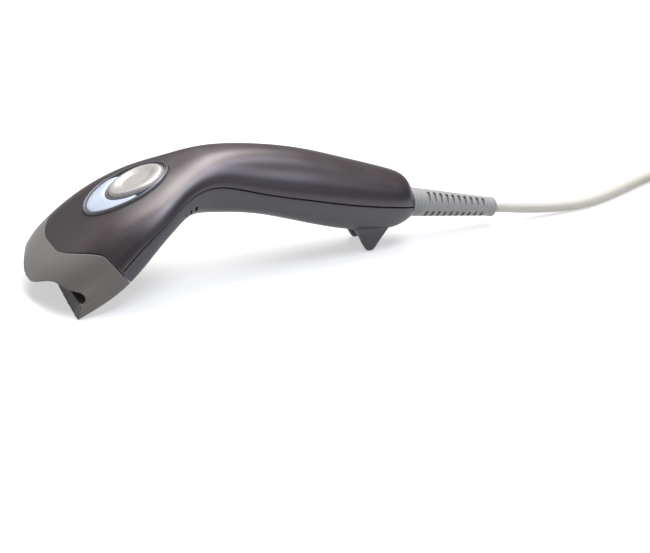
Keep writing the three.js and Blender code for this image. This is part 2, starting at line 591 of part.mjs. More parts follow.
// Screw with its head's underside at `at`, thread going down the frame's -Z.
function screw(frame, at, radius, length, headRadius) {
  const head = bar(frame, headRadius, 1.4, [at[0], at[1], at[2] + 0.7], 'z', 12);
  const shaft = bar(frame, radius, length + 0.2, [at[0], at[1], at[2] - length / 2 + 0.1], 'z', 8);
  return union(head, shaft);
}

// Housing screws go up from the belly: the head's underside looks towards the joint line.
const housingScrew = (frame) => {
  const upside = frame.clone().multiply(new THREE.Matrix4().makeRotationX(Math.PI));
  return screw(upside, [0, 0, SCREW_SEAT + 0.3], 1.1, SCREW_LENGTH, 2.4);
};

// ---------------------------------------------------------------- cable

// Swept round bar through points; the section has few sides on purpose.
function sweep(points, radius, sides, steps) {
  const curve = new THREE.CatmullRomCurve3(points, false, 'centripetal');
  const section = new THREE.Shape(Array.from({ length: sides }, (_, i) => {
    const a = (i / sides) * 2 * Math.PI;
    return new THREE.Vector2(radius * Math.cos(a), radius * Math.sin(a));
  }));
  return new THREE.ExtrudeGeometry(section, { steps, bevelEnabled: false, extrudePath: curve });
}

const BOOT_LENGTH = new THREE.Vector3(...BOOT_TO).distanceTo(new THREE.Vector3(...BOOT_FROM));
const BOOT_BORE = CABLE_RADIUS + GAP;
const SLOT_ROWS = 10;
const SLOT_PITCH = 3.4;
const bootRadius = (x) => THREE.MathUtils.lerp(...BOOT_RADII, x / BOOT_LENGTH);
const strainRelief = () => {
  const outline = [[-8.8, 6.2], [-7, 6.2], [-7, 4.9], [-1.5, 4.9], [-1.5, BOOT_RADII[0]], [1.2, BOOT_RADII[0]],
    [1.4, 6.7], [1.9, 6.7], [2.1, 7.1], [2.9, 7.1], [3.1, 6.6], [3.6, 6.6], [3.8, 7], [4.6, 7], [4.8, 6.6]];
  outline.push([BOOT_LENGTH - 2, bootRadius(BOOT_LENGTH - 2)], [BOOT_LENGTH - 0.6, BOOT_RADII[1] - 0.5]);
  outline.push([BOOT_LENGTH, BOOT_RADII[1] - 1.2], [BOOT_LENGTH, BOOT_BORE], [-8.8, BOOT_BORE]);
  const profile = outline.map(([x, r]) => new THREE.Vector2(r, x));
  profile.push(profile[0].clone());
  const turned = new THREE.LatheGeometry(profile, 16).rotateZ(-Math.PI / 2);
  const body = outward(turned, BOOT);
  const slots = [];
  for (let i = 0; i < SLOT_ROWS; i += 1) {
    const x = 8.2 + i * SLOT_PITCH;
    const reach = bootRadius(x);
    for (const turn of [45, 135, 225, 315]) {
      const frame = BOOT.clone().multiply(new THREE.Matrix4().makeRotationX(THREE.MathUtils.degToRad(turn)));
      slots.push(box(frame, [1.7, reach * 0.95, 4], [x, 0, reach + 2 - 1.5]));
    }
  }
  const tail = bodySolid(11.5, LAST + 0.1, 6, -GAP, COARSE).subtract(bar(BOOT, 4.96, 40, [0, 0, 0], 'x', 16));
  return cut(body, tail.intersect(bar(BOOT, 9, 20, [4, 0, 0], 'x', 16)), ...slots);
};


const CLAMP_X = -11.4;
const CLAMP_Y = [-6, 6];
const cableCore = () => bar(BOOT, CABLE_RADIUS, BOOT_LENGTH + 14, [(BOOT_LENGTH - 14.4) / 2, 0, 0], 'x', 16);
const cableClamp = () => cut(
  box(BOOT, [4, 17, 7.6], [CLAMP_X, 0, 0]),
  bar(BOOT, CABLE_RADIUS + GAP, 8, [CLAMP_X, 0, 0], 'x', 16),
  ...CLAMP_Y.map((y) => bar(BOOT, 1.3, 12, [CLAMP_X, y, 0], 'z', 10)),
);
const clampScrew = (y) => screw(BOOT, [CLAMP_X, y, 4.1], 1, 10, 1.8);

const LEAD_RADIUS = 1.1;
const cableLeads = () => sweep([[167.4, 1.3, 21.6], [165.2, 4.4, 22.3], [162.6, 6, 23.8], [160, 5.8, 26.4],
  [158, 5, 28.4]].map((p) => new THREE.Vector3(...p)), LEAD_RADIUS, 8, 10);

const COIL = { centre: [358, -12], meanRadius: 31, across: 4, high: 2, low: 1.3 };
const PITCH = 2 * CABLE_RADIUS;
const FLOOR = CABLE_RADIUS + 0.05;
const COIL_OUTER = COIL.meanRadius + (COIL.across * PITCH) / 2;
const COIL_INNER = COIL.meanRadius - (COIL.across * PITCH) / 2;
const COIL_HIGH = COIL.low + COIL.high * PITCH;

// Free cable: straight out of the boot, down to the table and round to the outside of the coil.
const CABLE_ROUTE = [
  [227.8, 0, 8.74], [236, 0, 7.1], [246, 0, 5.4], [257, 0.2, 3.9], [268, 0.6, 3], [280, 1.8, FLOOR],
  [292, 6.2, FLOOR], [304, 12.1, FLOOR], [316, 18.2, FLOOR], [327, 23.1, 2.9], [336.4, 26, 3.5],
];
const TAIL_X = COIL.centre[0] + COIL_OUTER - CABLE_RADIUS;
const TAIL_ROUTE = [[TAIL_X, -32.8, 7.4], [TAIL_X, -38, 6], [TAIL_X, -44, 4.8], [TAIL_X, -50, 4.3]];
const toVectors = (route) => route.map((p) => new THREE.Vector3(...p));
const freeCable = () => sweep(toVectors(CABLE_ROUTE), CABLE_RADIUS, 10, 12);
const cableTail = () => sweep(toVectors(TAIL_ROUTE), CABLE_RADIUS, 10, 3);

const cableCoil = () => {
  const edge = 1.5;
  const [inner, outer, low, high] = [COIL_INNER, COIL_OUTER, COIL.low, COIL_HIGH];
  const profile = [[inner, low + edge], [inner + edge, low], [outer - edge, low], [outer, low + edge],
    [outer, high - edge], [outer - edge, high], [inner + edge, high], [inner, high - edge], [inner, low + edge]];
  const ring = new THREE.LatheGeometry(profile.map(([r, z]) => new THREE.Vector2(r, z)), 28).rotateX(Math.PI / 2);
  return outward(ring, new THREE.Matrix4().makeTranslation(...COIL.centre, 0));
};

// Strap round the coil's bundle.
const TIE = { turn: 200, width: 8, thickness: 1, slack: 0.6 };
const cableTie = () => {
  const frame = new THREE.Matrix4().makeTranslation(...COIL.centre, (COIL.low + COIL_HIGH) / 2)
    .multiply(new THREE.Matrix4().makeRotationZ(THREE.MathUtils.degToRad(TIE.turn)));
  const across = COIL_OUTER - COIL_INNER + 2 * TIE.slack;
  const high = COIL_HIGH - COIL.low + 2 * GAP;
  const at = [COIL.meanRadius, 0, 0];
  return cut(
    box(frame, [across + 2 * TIE.thickness, TIE.width, high + 2 * (TIE.thickness - 0.02)], at),
    box(frame, [across, TIE.width + 1, high], at),
  );
};

const PLUG = { body: [15, 20, 8], shell: [12, 12.4, 4.5], wall: 0.45, z: 4.2, start: -50.3 };
const plugBody = () => box(WORLD, PLUG.body, [TAIL_X, PLUG.start - PLUG.body[1] / 2, PLUG.z]);
const plugShell = () => {
  const [wide, long, thick] = PLUG.shell;
  const y = PLUG.start - PLUG.body[1] - GAP - long / 2;
  const tube = cut(
    box(WORLD, [wide, long, thick], [TAIL_X, y, PLUG.z]),
    box(WORLD, [wide - 2 * PLUG.wall, long + 1, thick - 2 * PLUG.wall], [TAIL_X, y - 1.5, PLUG.z]),
  );
  return cut(tube, ...[-3, 3].map((x) => box(WORLD, [2.2, 2.4, 20], [TAIL_X + x, y, PLUG.z])));
};
const plugTongue = () => {
  const y = PLUG.start - PLUG.body[1] - GAP - PLUG.shell[1] / 2;
  return box(WORLD, [PLUG.shell[0] - 2, PLUG.shell[1] - 2.4, 1.4], [TAIL_X, y - 0.6, PLUG.z + 0.7]);
};

// ---------------------------------------------------------------- the assembly

const LOOKS = {
  housing: [COLOURS.housing, 0.42, 0], nose: [COLOURS.nose, 0.6, 0], bezel: [COLOURS.bezel, 0.35, 0],
  lens: [COLOURS.lens, 0.2, 0], button: [COLOURS.button, 0.35, 0.2], boot: [COLOURS.boot, 0.65, 0],
  cable: [COLOURS.cable, 0.6, 0], board: [COLOURS.board, 0.45, 0], black: [COLOURS.black, 0.5, 0],
  steel: [COLOURS.steel, 0.3, 0.9], window: [COLOURS.window, 0.1, 0], white: [COLOURS.white, 0.5, 0],
  glass: [COLOURS.glass, 0.05, 0],
};

const meshOf = (name, solid, look) => {
  const [color, roughness, metalness] = LOOKS[look];
  const geometry = solid.isBufferGeometry ? solid : toGeometry(solid);
  const mesh = new THREE.Mesh(geometry, new THREE.MeshStandardMaterial({ color, roughness, metalness }));
  mesh.name = name;
  return mesh;
};

const scanner = new THREE.Group();
const add = (name, solid, look) => scanner.add(meshOf(name, solid, look));

add('upper_housing', upperHousing(), 'housing');
add('lower_housing', lowerHousing(), 'housing');
add('nose_cover', noseCover(), 'nose');
add('trigger_bezel', triggerBezel(), 'bezel');
add('indicator_lens', indicatorLens(), 'lens');
add('trigger_button', triggerButton(), 'button');
add('trigger_return_spring', returnSpring(), 'steel');
add('switch_plunger', switchPlunger(), 'black');
add('trigger_switch', triggerSwitch(), 'black');
add('trigger_board', triggerBoard(), 'board');
TRIGGER_SCREWS.forEach(([x, y], i) => add(`trigger_board_screw_${i + 1}`, triggerBoardScrew(x, y), 'steel'));
add('status_board', statusBoard(), 'board');
[-4, 4].forEach((y, i) => add(`status_diode_${i + 1}`, statusDiode(y), 'white'));
add('scan_window', scanWindow(), 'window');
add('window_gasket', windowGasket(), 'black');
add('optics_chassis', opticsChassis(), 'black');
EAR_Y.forEach((y, i) => add(`chassis_screw_${i + 1}`, chassisScrew(y), 'steel'));
add('lens_barrel', lensBarrel(), 'black');
add('receiving_lens', lens(), 'glass');
add('image_sensor', imageSensor(), 'black');
add('sensor_board', sensorBoard(), 'board');
add('illumination_board', illuminationBoard(), 'board');
[-18, -6, 6, 18].forEach((y, i) => add(`illumination_diode_${i + 1}`, illuminationDiode(y), 'white'));
add('main_board', mainBoard(), 'board');
BOARD_SCREWS.forEach(([x, y], i) => add(`board_screw_${i + 1}`, boardScrew(x, y), 'steel'));
add('decoder_chip', decoderChip(), 'black');
add('memory_chip', memoryChip(), 'black');
add('beeper', beeper(), 'black');
add('cable_header', cableHeader(), 'white');
add('cable_connector', cableConnector(), 'white');
add('cable_leads', cableLeads(), 'cable');
add('cable_core', cableCore(), 'cable');
add('cable_clamp', cableClamp(), 'steel');
CLAMP_Y.forEach((y, i) => add(`clamp_screw_${i + 1}`, clampScrew(y), 'steel'));
add('strain_relief', strainRelief(), 'boot');
Object.entries(HOUSING_SCREWS).forEach(([place, frame]) => add(`housing_screw_${place}`, housingScrew(frame), 'steel'));

// The origin goes to the middle of the scanner's own box, without the free cable.
const own = new THREE.Box3().setFromObject(scanner);
scanner.position.x = -(own.min.x + own.max.x) / 2;

add('cable', freeCable(), 'cable');
add('cable_coil', cableCoil(), 'cable');
add('cable_tie', cableTie(), 'black');
add('cable_tail', cableTail(), 'cable');
add('plug_body', plugBody(), 'boot');
add('plug_shell', plugShell(), 'steel');
add('plug_tongue', plugTongue(), 'white');

const group = new THREE.Group();
group.add(scanner);

export default group;
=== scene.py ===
"""Handheld barcode scanner on a pale table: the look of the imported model, in metres, in the row frame.
Shapes are worked out in millimetres in the working frame of part.mjs, whose x starts at the jaw."""

import json
import math

import bmesh
import bpy
import numpy as np
from mathutils import Matrix, Vector
from mathutils.bvhtree import BVHTree


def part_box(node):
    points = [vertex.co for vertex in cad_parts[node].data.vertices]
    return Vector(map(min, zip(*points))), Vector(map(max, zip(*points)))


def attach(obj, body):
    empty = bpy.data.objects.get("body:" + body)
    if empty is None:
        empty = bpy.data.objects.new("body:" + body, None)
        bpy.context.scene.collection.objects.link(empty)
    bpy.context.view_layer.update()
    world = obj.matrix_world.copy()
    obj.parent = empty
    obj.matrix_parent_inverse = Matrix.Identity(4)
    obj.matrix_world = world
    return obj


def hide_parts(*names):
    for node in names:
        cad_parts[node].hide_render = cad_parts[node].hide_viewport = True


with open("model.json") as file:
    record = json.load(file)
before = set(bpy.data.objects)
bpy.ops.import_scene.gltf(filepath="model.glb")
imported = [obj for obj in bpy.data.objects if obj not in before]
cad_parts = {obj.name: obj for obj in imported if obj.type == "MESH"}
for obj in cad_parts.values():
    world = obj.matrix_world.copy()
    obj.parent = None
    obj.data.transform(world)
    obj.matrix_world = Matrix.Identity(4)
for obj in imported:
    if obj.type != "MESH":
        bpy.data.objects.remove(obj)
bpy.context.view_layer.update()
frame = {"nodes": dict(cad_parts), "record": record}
NODES = frame["nodes"]
MM = 0.001

# ------------------------------------------------------------------ driving dimensions, as in part.mjs

PLUG_X = 396.8
plug_low, plug_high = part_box("plug_body")
SHIFT = (plug_low[0] + plug_high[0]) / 2 / MM - PLUG_X

# top x, z; belly x, z; joint share; half width; crown half width; shoulder height; crown and belly power
STATIONS = [
    (-14.5, 4, -9, -5, 0.3, 37, 31, 8, 2.6, 12),
    (-10, 15.8, 0.5, -0.8, 0.3, 37.3, 31.5, 9, 2.1, 12),
    (-2.4, 23.4, 11.5, 3.8, 0.26, 37.4, 33.8, 9.5, 3.5, 11),
    (9, 32.6, 26, 10.8, 0.33, 37.2, 35, 9.8, 3.4, 7),
    (24, 42.5, 41.5, 22.8, 0.45, 36.2, 33, 10, 3.3, 3.4),
    (43.5, 49.8, 55.5, 31.2, 0.52, 32, 30, 10.5, 3.4, 2.5),
    (61, 56, 64, 33.5, 0.6, 22, 20, 9, 3.2, 2.5),
    (77.5, 62, 77, 30.5, 0.61, 17.5, 15, 10.5, 2.7, 2.5),
    (100.5, 60, 97.5, 28.5, 0.41, 19, 15, 13, 2.4, 2.5),
    (125.5, 54.5, 120.5, 20, 0.45, 20, 15.2, 13.6, 2.4, 2.5),
    (150, 45, 144.5, 11.5, 0.5, 19, 15, 13, 2.4, 2.5),
    (172, 36.8, 167, 7.3, 0.54, 16.5, 13.5, 11, 2.3, 2.4),
    (180, 33, 176, 9.8, 0.5, 14.2, 12, 10, 2.2, 2.2),
    (181.8, 27.4, 181.2, 12, 0.46, 9.4, 8.4, 7.4, 2.1, 2.1),
]
LAST = len(STATIONS) - 1
SHOULDER_POW, VALLEY = 2.4, 18
TONGUE_STATION, TONGUE_SWEEP, TONGUE_FLAT, TONGUE_BLEND = 2.07, 1.05, 10, 50
JAW_HEIGHT, JAW_LEAN, JAW_HOLLOW, JAW_ARCH, CHEEK = 7, 1.7, 1.2, 29, 30
NOSE_WALL = 2.0
TRIGGER_AT, TRIGGER_TILT = (37, 0, 46.7), math.radians(22)
BEZEL, BUTTON, BUTTON_X = (22.7, 16), (14.4, 11.2), 6
BOOT_FROM, BOOT_TO, BOOT_RADII = (182.2, 0, 18.4), (227.5, 0, 8.8), (7.2, 4.5)
CABLE_RADIUS = 2.6
COIL_CENTRE, COIL_RADII, COIL_LAYERS = (358, -12), (38.8, 33.6, 28.4, 23.2), (3.9, 9.1)
CABLE_ROUTE = [
    (227.8, 0, 8.74), (236, 0, 7.1), (246, 0, 5.4), (257, 0.2, 3.9), (268, 0.6, 3), (280, 1.8, 2.65),
    (292, 6.2, 2.65), (304, 12.1, 2.65), (316, 18.2, 2.65), (327, 23.1, 2.9), (337.2, 26.1, 3.5),
]
TAIL_ROUTE = [
    (PLUG_X, -22, 8.6), (PLUG_X, -32.8, 7.4), (PLUG_X, -38, 6), (PLUG_X, -44, 4.8), (PLUG_X, -50.4, 4.3),
]


def row(points):
    """Working-frame millimetres to row-frame metres."""
    p = np.array(points, float)
    return (p + (SHIFT, 0, 0)) * MM


# ------------------------------------------------------------------ camera, at the photograph's angle

CAMERA_AZIMUTH, CAMERA_ELEVATION, CAMERA_DISTANCE, LENS = -21.3, 23.6, 1780, 201.6
LOOK_AT = (138.2, 0, -14.7)


def make_camera():
    a, e = math.radians(CAMERA_AZIMUTH), math.radians(CAMERA_ELEVATION)
    back = Vector((math.sin(a) * math.cos(e), -math.cos(a) * math.cos(e), math.sin(e)))
    data = bpy.data.cameras.new("camera")
    data.lens, data.sensor_width = LENS, 36
    data.clip_start, data.clip_end = 0.05, 50
    cam = bpy.data.objects.new("camera", data)
    cam.location = Vector(row(LOOK_AT)) + back * CAMERA_DISTANCE * MM
    cam.rotation_mode = "QUATERNION"
    cam.rotation_quaternion = (-back).to_track_quat("-Z", "Y")
    bpy.context.collection.objects.link(cam)
    bpy.context.scene.camera = cam


make_camera()

# ------------------------------------------------------------------ mesh helpers


def add_object(name, mesh, body="housing", replaces=()):
    obj = bpy.data.objects.new(name, mesh)
    bpy.context.collection.objects.link(obj)
    if body:
        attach(obj, body)
    if replaces:
        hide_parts(*replaces)
    return obj


def new_mesh(name, points, faces, weights=None):
    mesh = bpy.data.meshes.new(name)
    mesh.from_pydata([tuple(p) for p in row(points)], [], faces)
    if weights is not None:
        layer = mesh.attributes.new("crown", "FLOAT", "POINT")
        layer.data.foreach_set("value", np.asarray(weights, np.float32).ravel())
    mesh.validate()
    mesh.update()
    return mesh


def grid_faces(rows, cols, closed=False, first=0, flip=False):
    faces = []
    for i in range(rows - 1):
        for j in range(cols if closed else cols - 1):
            k = (j + 1) % cols
            here, there = first + i * cols, first + (i + 1) * cols
            f = (here + j, here + k, there + k, there + j)
            faces.append(f[::-1] if flip else f)
    return faces


# ------------------------------------------------------------------ cable


def smoothstep(x):
    x = np.clip(x, 0, 1)
    return x * x * (3 - 2 * x)


def catmull(points, per_span):
    """Points on a smooth curve through the given ones."""
    p = np.array(points, float)
    p = np.vstack([2 * p[0] - p[1], p, 2 * p[-1] - p[-2]])
    out = []
    for i in range(1, len(p) - 2):
        for u in np.arange(per_span) / per_span:
            a, b, c, d = p[i - 1:i + 3]
            bend = (2 * a - 5 * b + 4 * c - d) * u**2 + (3 * b - a - 3 * c + d) * u**3
            out.append(0.5 * (2 * b + (c - a) * u + bend))
    out.append(p[-2])
    return np.array(out)


COIL_TURNS = 7.25
JOG = (0.45, 0.85)  # share of each turn over which the cable moves to the next turn


def coil_points(per_turn=40):
    """Clockwise seen from above: four turns inwards on the table, then the rest outwards on top of them."""
    out = []
    radii = [*COIL_RADII, *reversed(COIL_RADII)]
    for i in range(1, int(COIL_TURNS * per_turn) + 1):
        n = i / per_turn
        k = min(int(n), len(radii) - 2)
        step = float(smoothstep((n - k - JOG[0]) / (JOG[1] - JOG[0])))
        r = radii[k] + (radii[k + 1] - radii[k]) * step
        if k == 3:
            rise = math.sqrt(max(0.0, 1 - (1 - step) ** 2))
        else:
            rise = float(k > 3)
        z = COIL_LAYERS[0] + (COIL_LAYERS[1] - COIL_LAYERS[0]) * rise
        a = math.radians(90 - 360 * n)
        out.append((COIL_CENTRE[0] + r * math.cos(a), COIL_CENTRE[1] + r * math.sin(a), z))
    return np.array(out)


def relax(points, rounds, keep):
    """Evens out small kinks, but leaves the first few points where they are."""
    p = points.copy()
    for _ in range(rounds):
        mid = (p[:-2] + p[2:]) / 2
        q = p.copy()
        q[1:-1] = 0.5 * p[1:-1] + 0.5 * mid
        q[:keep], q[-keep:] = p[:keep], p[-keep:]
        p = q
    return p


def tube(name, line, radius, sides=18):
    """A round bar along a line that never runs straight up."""
    along = np.gradient(line, axis=0)
    side = np.cross(along, (0, 0, 1))
    side /= np.linalg.norm(side, axis=1)[:, None]
    over = np.cross(side, along)
    over /= np.linalg.norm(over, axis=1)[:, None]
    a = np.linspace(0, 2 * math.pi, sides, endpoint=False)[None, :, None]
    points = line[:, None] + radius * (np.cos(a) * side[:, None] + np.sin(a) * over[:, None])
    faces = grid_faces(len(line), sides, closed=True)
    faces += [tuple(range(sides - 1, -1, -1)), tuple(range((len(line) - 1) * sides, len(line) * sides))]
    mesh = new_mesh(name, points.reshape(-1, 3), faces)
    mesh.polygons.foreach_set("use_smooth", [len(f) == 4 for f in faces])
    return mesh


def make_cable():
    entry = (COIL_CENTRE[0], COIL_CENTRE[1] + COIL_RADII[0], COIL_LAYERS[0])
    free = catmull([*CABLE_ROUTE, entry], 3)
    coil = coil_points()
    tail = catmull([tuple(coil[-1]), *TAIL_ROUTE], 3)[1:]
    line = relax(np.vstack([free, coil, tail]), 3, 3)
    mesh = tube("host_cable", line, CABLE_RADIUS)
    obj = add_object("host_cable", mesh, replaces=["cable", "cable_coil", "cable_tail"])
    return obj, row(line)


host_cable, cable_line = make_cable()

# ------------------------------------------------------------------ body surface

TABLE = np.array(STATIONS, float)
TABLE = np.vstack([2 * TABLE[0] - TABLE[1], TABLE, 2 * TABLE[-1] - TABLE[-2]])


def section(t):
    t = np.asarray(t, float)
    i = np.clip(np.floor(t), 0, LAST - 1).astype(int)
    u = (t - i)[..., None]
    w = 1 - u
    a, b, c, d = (TABLE[i + k] for k in range(4))
    return (w**3 * a + (3 * u**3 - 6 * u**2 + 4) * b + (-3 * u**3 + 3 * u**2 + 3 * u + 1) * c + u**3 * d) / 6


def heights(t):
    s = section(t)
    h = np.hypot(s[..., 0] - s[..., 2], s[..., 1] - s[..., 3])
    return h * (1 - s[..., 4]), h * s[..., 4]


def oval(c, s, a, b, power):
    return ((c / a) ** power + (s / b) ** power) ** (-1 / power)


def skin(t, turn, inset=0.0):
    """Point of the skin at a station and a turn: 0 near side, 90 crown, 180 far side, 270 belly.
    The last value is 1 on the crown, 0 below the valley."""
    t, turn, inset = np.broadcast_arrays(*(np.asarray(v, float) for v in (t, turn, inset)))
    s = section(t)
    up = s[..., 0:2] - s[..., 2:4]
    height = np.linalg.norm(up, axis=-1)
    up = up / height[..., None]
    origin = s[..., 2:4] + up * (height * s[..., 4])[..., None]
    above, below = height * (1 - s[..., 4]), height * s[..., 4]
    half, crown, shoulder = s[..., 5], s[..., 6], s[..., 7]
    upper = turn <= 180
    a = np.radians(turn)
    angle = np.arctan2(np.where(upper, above, below) * np.sin(a), half * np.cos(a))
    c, z = np.abs(np.cos(angle)), np.abs(np.sin(angle))
    r_crown = oval(c, z, crown - inset, above - inset, s[..., 8])
    r_shoulder = oval(c, z, half - inset, shoulder - inset, SHOULDER_POW)
    r_upper = (r_crown**VALLEY + r_shoulder**VALLEY) ** (1 / VALLEY)
    r_lower = oval(c, z, half - inset, below - inset, s[..., 9])
    r = np.where(upper, r_upper, r_lower)
    rise = r * np.sin(angle)
    x, z = origin[..., 0] + up[..., 0] * rise, origin[..., 1] + up[..., 1] * rise
    point = np.stack([x, -r * np.cos(angle), z], -1)
    on_crown = np.where(upper, smoothstep((r_crown / r_shoulder - 0.97) / 0.06), 0)
    return point, on_crown


NOSE_SEAM = 0.007  # in stations, from the nose cover's edge to each side of the seam


def nose_edge(turn):
    turn = np.asarray(turn, float)
    sweep = smoothstep((np.abs(90 - turn) - TONGUE_FLAT) / TONGUE_BLEND)
    return TONGUE_STATION + TONGUE_SWEEP * np.where(turn > 180, 1, sweep)


def even_turns(first, last, count):
    """Turns that are evenly spaced along the skin, on the mean of a few stations."""
    fine = np.linspace(first, last, 1441)
    along = np.zeros_like(fine)
    for t in (1, 3, 5, 8, 10, 11.5):
        p, _ = skin(t, fine)
        d = np.concatenate([[0], np.cumsum(np.linalg.norm(np.diff(p, axis=0), axis=1))])
        along += d / d[-1]
    return np.interp(np.linspace(0, along[-1], count), along, fine)


# ------------------------------------------------------------------ solids


def smooth(mesh, degrees=35):
    mesh.polygons.foreach_set("use_smooth", np.ones(len(mesh.polygons), bool))
    mesh.set_sharp_from_angle(angle=math.radians(degrees))
    mesh.update()


def baked(obj):
    """The object's mesh with its modifiers applied."""
    dg = bpy.context.evaluated_depsgraph_get()
    mesh = bpy.data.meshes.new_from_object(obj.evaluated_get(dg), depsgraph=dg, preserve_all_data_layers=True)
    obj.modifiers.clear()
    old = obj.data
    obj.data = mesh
    mesh.name = obj.name
    bpy.data.meshes.remove(old)


def boolean(obj, cutters, operation="DIFFERENCE", solver="MANIFOLD"):
    for mesh in cutters:
        tool = bpy.data.objects.new("tool", mesh)
        bpy.context.collection.objects.link(tool)
        mod = obj.modifiers.new("cut", "BOOLEAN")
        mod.operation, mod.solver, mod.object = operation, solver, tool
        baked(obj)
        bpy.data.objects.remove(tool)
        bpy.data.meshes.remove(mesh)


def prism(name, outline, low, high, place=Matrix.Identity(4)):
    """An outline of (a, b) pairs from low to high, put in place by a matrix of the working frame."""
    n = len(outline)
    points = [place @ Vector((a, b, h)) for h in (low, high) for a, b in outline]
    faces = [tuple(range(n - 1, -1, -1)), tuple(range(n, 2 * n))]
    faces += [(i, (i + 1) % n, n + (i + 1) % n, n + i) for i in range(n)]
    return new_mesh(name, points, faces)


def tilted(at, tilt):
    return Matrix.Translation(at) @ Matrix.Rotation(-tilt, 4, "Y")


TRIGGER = tilted(TRIGGER_AT, TRIGGER_TILT)
ACROSS = Matrix(((1, 0, 0, 0), (0, 0, -1, 0), (0, 1, 0, 0), (0, 0, 0, 1)))  # outline x, z; depth along -y
ALONG = Matrix(((0, 0, 1, 0), (1, 0, 0, 0), (0, 1, 0, 0), (0, 0, 0, 1)))  # outline y, z; depth along x


def ring_outline(half_long, half_wide, centre=0, sides=96):
    turns = [2 * math.pi * i / sides for i in range(sides)]
    return [(centre + half_long * math.cos(a), half_wide * math.sin(a)) for a in turns]


def closed_loft(name, start, end, steps, inset=0.0, around=220):
    """Closed solid of the body between two stations, either of which may depend on the turn."""
    turns = np.concatenate([even_turns(0, 180, around // 2 + 1), even_turns(180, 360, around // 2 + 1)[1:-1]])
    first, last = np.broadcast_to(start(turns), turns.shape), np.broadcast_to(end(turns), turns.shape)
    f = np.linspace(0, 1, steps)[:, None]
    t = first + (last - first) * f
    points, _ = skin(t, np.broadcast_to(turns, t.shape), inset)
    n = len(turns)
    flat = points.reshape(-1, 3)
    faces = grid_faces(steps, n, closed=True, flip=True)
    caps = [points[0].mean(axis=0), points[-1].mean(axis=0)]
    a, b = len(flat), len(flat) + 1
    for j in range(n):
        k = (j + 1) % n
        faces.append((a, j, k))
        faces.append((b, (steps - 1) * n + k, (steps - 1) * n + j))
    return new_mesh(name, np.vstack([flat, caps]), faces)


# ------------------------------------------------------------------ housings

ROUND_AT = np.array([0, 0.1, 0.25, 0.5, 0.85])  # mm in from an edge
ROUND_DOWN = np.array([0.5, 0.24, 0.08, 0, 0])  # how far the skin drops there
SHELL_WALL = 2.0
HALF_GIRTH, SHELL_LENGTH = 72, 160  # roughly, in mm, to turn a distance from an edge into a share
HALF_JOINT = 0.22  # half the width of the joint line between the shells, in mm
SHELL_ROWS = 215
BEZEL_GAP, BUTTON_GAP = 0.35, 0.35


def shell(name, first, last, cad_node):
    """Half of the housing: outer skin with rounded edges, then a wall's thickness inwards."""
    cols = (even_turns(first, last, 150) - first) / 180
    reach = ROUND_AT / HALF_GIRTH
    g = np.concatenate([reach, cols[(cols > 0.014) & (cols < 0.986)], 1 - reach[::-1]])
    drop_cols = np.concatenate([ROUND_DOWN, np.zeros(len(g) - 2 * len(ROUND_DOWN)), ROUND_DOWN[::-1]])
    f = np.concatenate([ROUND_AT / SHELL_LENGTH, np.linspace(0.0085, 1, SHELL_ROWS)])
    drop_rows = np.concatenate([ROUND_DOWN, np.zeros(SHELL_ROWS)])
    turn = first + (last - first) * g
    start = nose_edge(turn) + NOSE_SEAM
    t = start[None, :] + (LAST - start[None, :]) * f[:, None]
    above, below = heights(t)
    edge = np.degrees(HALF_JOINT / (above if first == 0 else below))
    turns = first + edge + (last - first - 2 * edge) * g[None, :]
    points, crown = skin(t, turns, np.maximum(drop_rows[:, None], drop_cols[None, :]))
    s = section(LAST)
    middle = np.array([(s[0] + s[2]) / 2, 0, (s[1] + s[3]) / 2])
    end = points[-1]
    extra = [middle + (end - middle) * k + (x, 0, 0) for k, x in ((0.96, 0.25), (0.86, 0.4), (0.76, 0.42))]
    points = np.concatenate([points, np.array(extra)])
    crown = np.concatenate([crown, np.repeat(crown[-1:], 3, axis=0)])
    faces = grid_faces(points.shape[0], points.shape[1], flip=True)
    # The crown share goes into the 'crown' attribute, which the upper shell's material uses for a painted
    # warm highlight.
    mesh = new_mesh(name, points.reshape(-1, 3), faces, crown)
    obj = add_object(name, mesh, replaces=[cad_node])
    mod = obj.modifiers.new("wall", "SOLIDIFY")
    mod.thickness, mod.offset = SHELL_WALL * MM, -1
    baked(obj)
    return obj


upper = shell("upper_shell", 0, 180, "upper_housing")
bezel_hole = ring_outline(BEZEL[0] + BEZEL_GAP, BEZEL[1] + BEZEL_GAP)
boolean(upper, [prism("tool", bezel_hole, -14, 20, TRIGGER)], solver="EXACT")
smooth(upper.data, 40)

lower = shell("lower_shell", 180, 360, "lower_housing")


def sound_holes():
    """Three tear-shaped holes through both flanks at the neck."""
    tools = []
    for x, z, size in ((59.2, 38.6, 0.55), (62, 39.4, 0.8), (65.2, 39.8, 1.0)):
        outline = []
        for a in np.linspace(0, 2 * math.pi, 20, endpoint=False):
            bow = 0.3 * size * math.cos(a) ** 2
            outline.append((x + size * 0.8 * math.cos(a), z + size * 1.55 * math.sin(a) + bow))
        tools.append(prism("tool", outline, -32, 32, ACROSS))
    return tools


boolean(lower, sound_holes(), solver="EXACT")


def leg_outline():
    """Side view of a leg: a concave front edge, a rounded tip and a straight rear edge."""
    front = [(143.5, 0, 19), (147, 0, 15.4), (149.9, 0, 12), (151.9, 0, 8.2), (153.6, 0, 4.4)]
    front.append((155.5, 0, 1.1))
    tip = [(155.5, 0, 1.1), (156.4, 0, 0.28), (157.8, 0, 0.0), (159.1, 0, 0.22), (160.3, 0, 1.1)]
    rear = [(164, 0, 6.4), (168.3, 0, 12.8), (170, 0, 17)]
    return [(p[0], p[2]) for p in [*catmull(front, 6), *catmull(tip, 5)[1:], *rear]]


LEG_Y, LEG_HALF = 9.4, 1.7
# depth in from the leg's side face, and how far the outline shrinks there
LEG_EDGE = [(0, 1.3), (0.25, 0.75), (0.6, 0.35), (1.1, 0.08), (1.7, 0)]


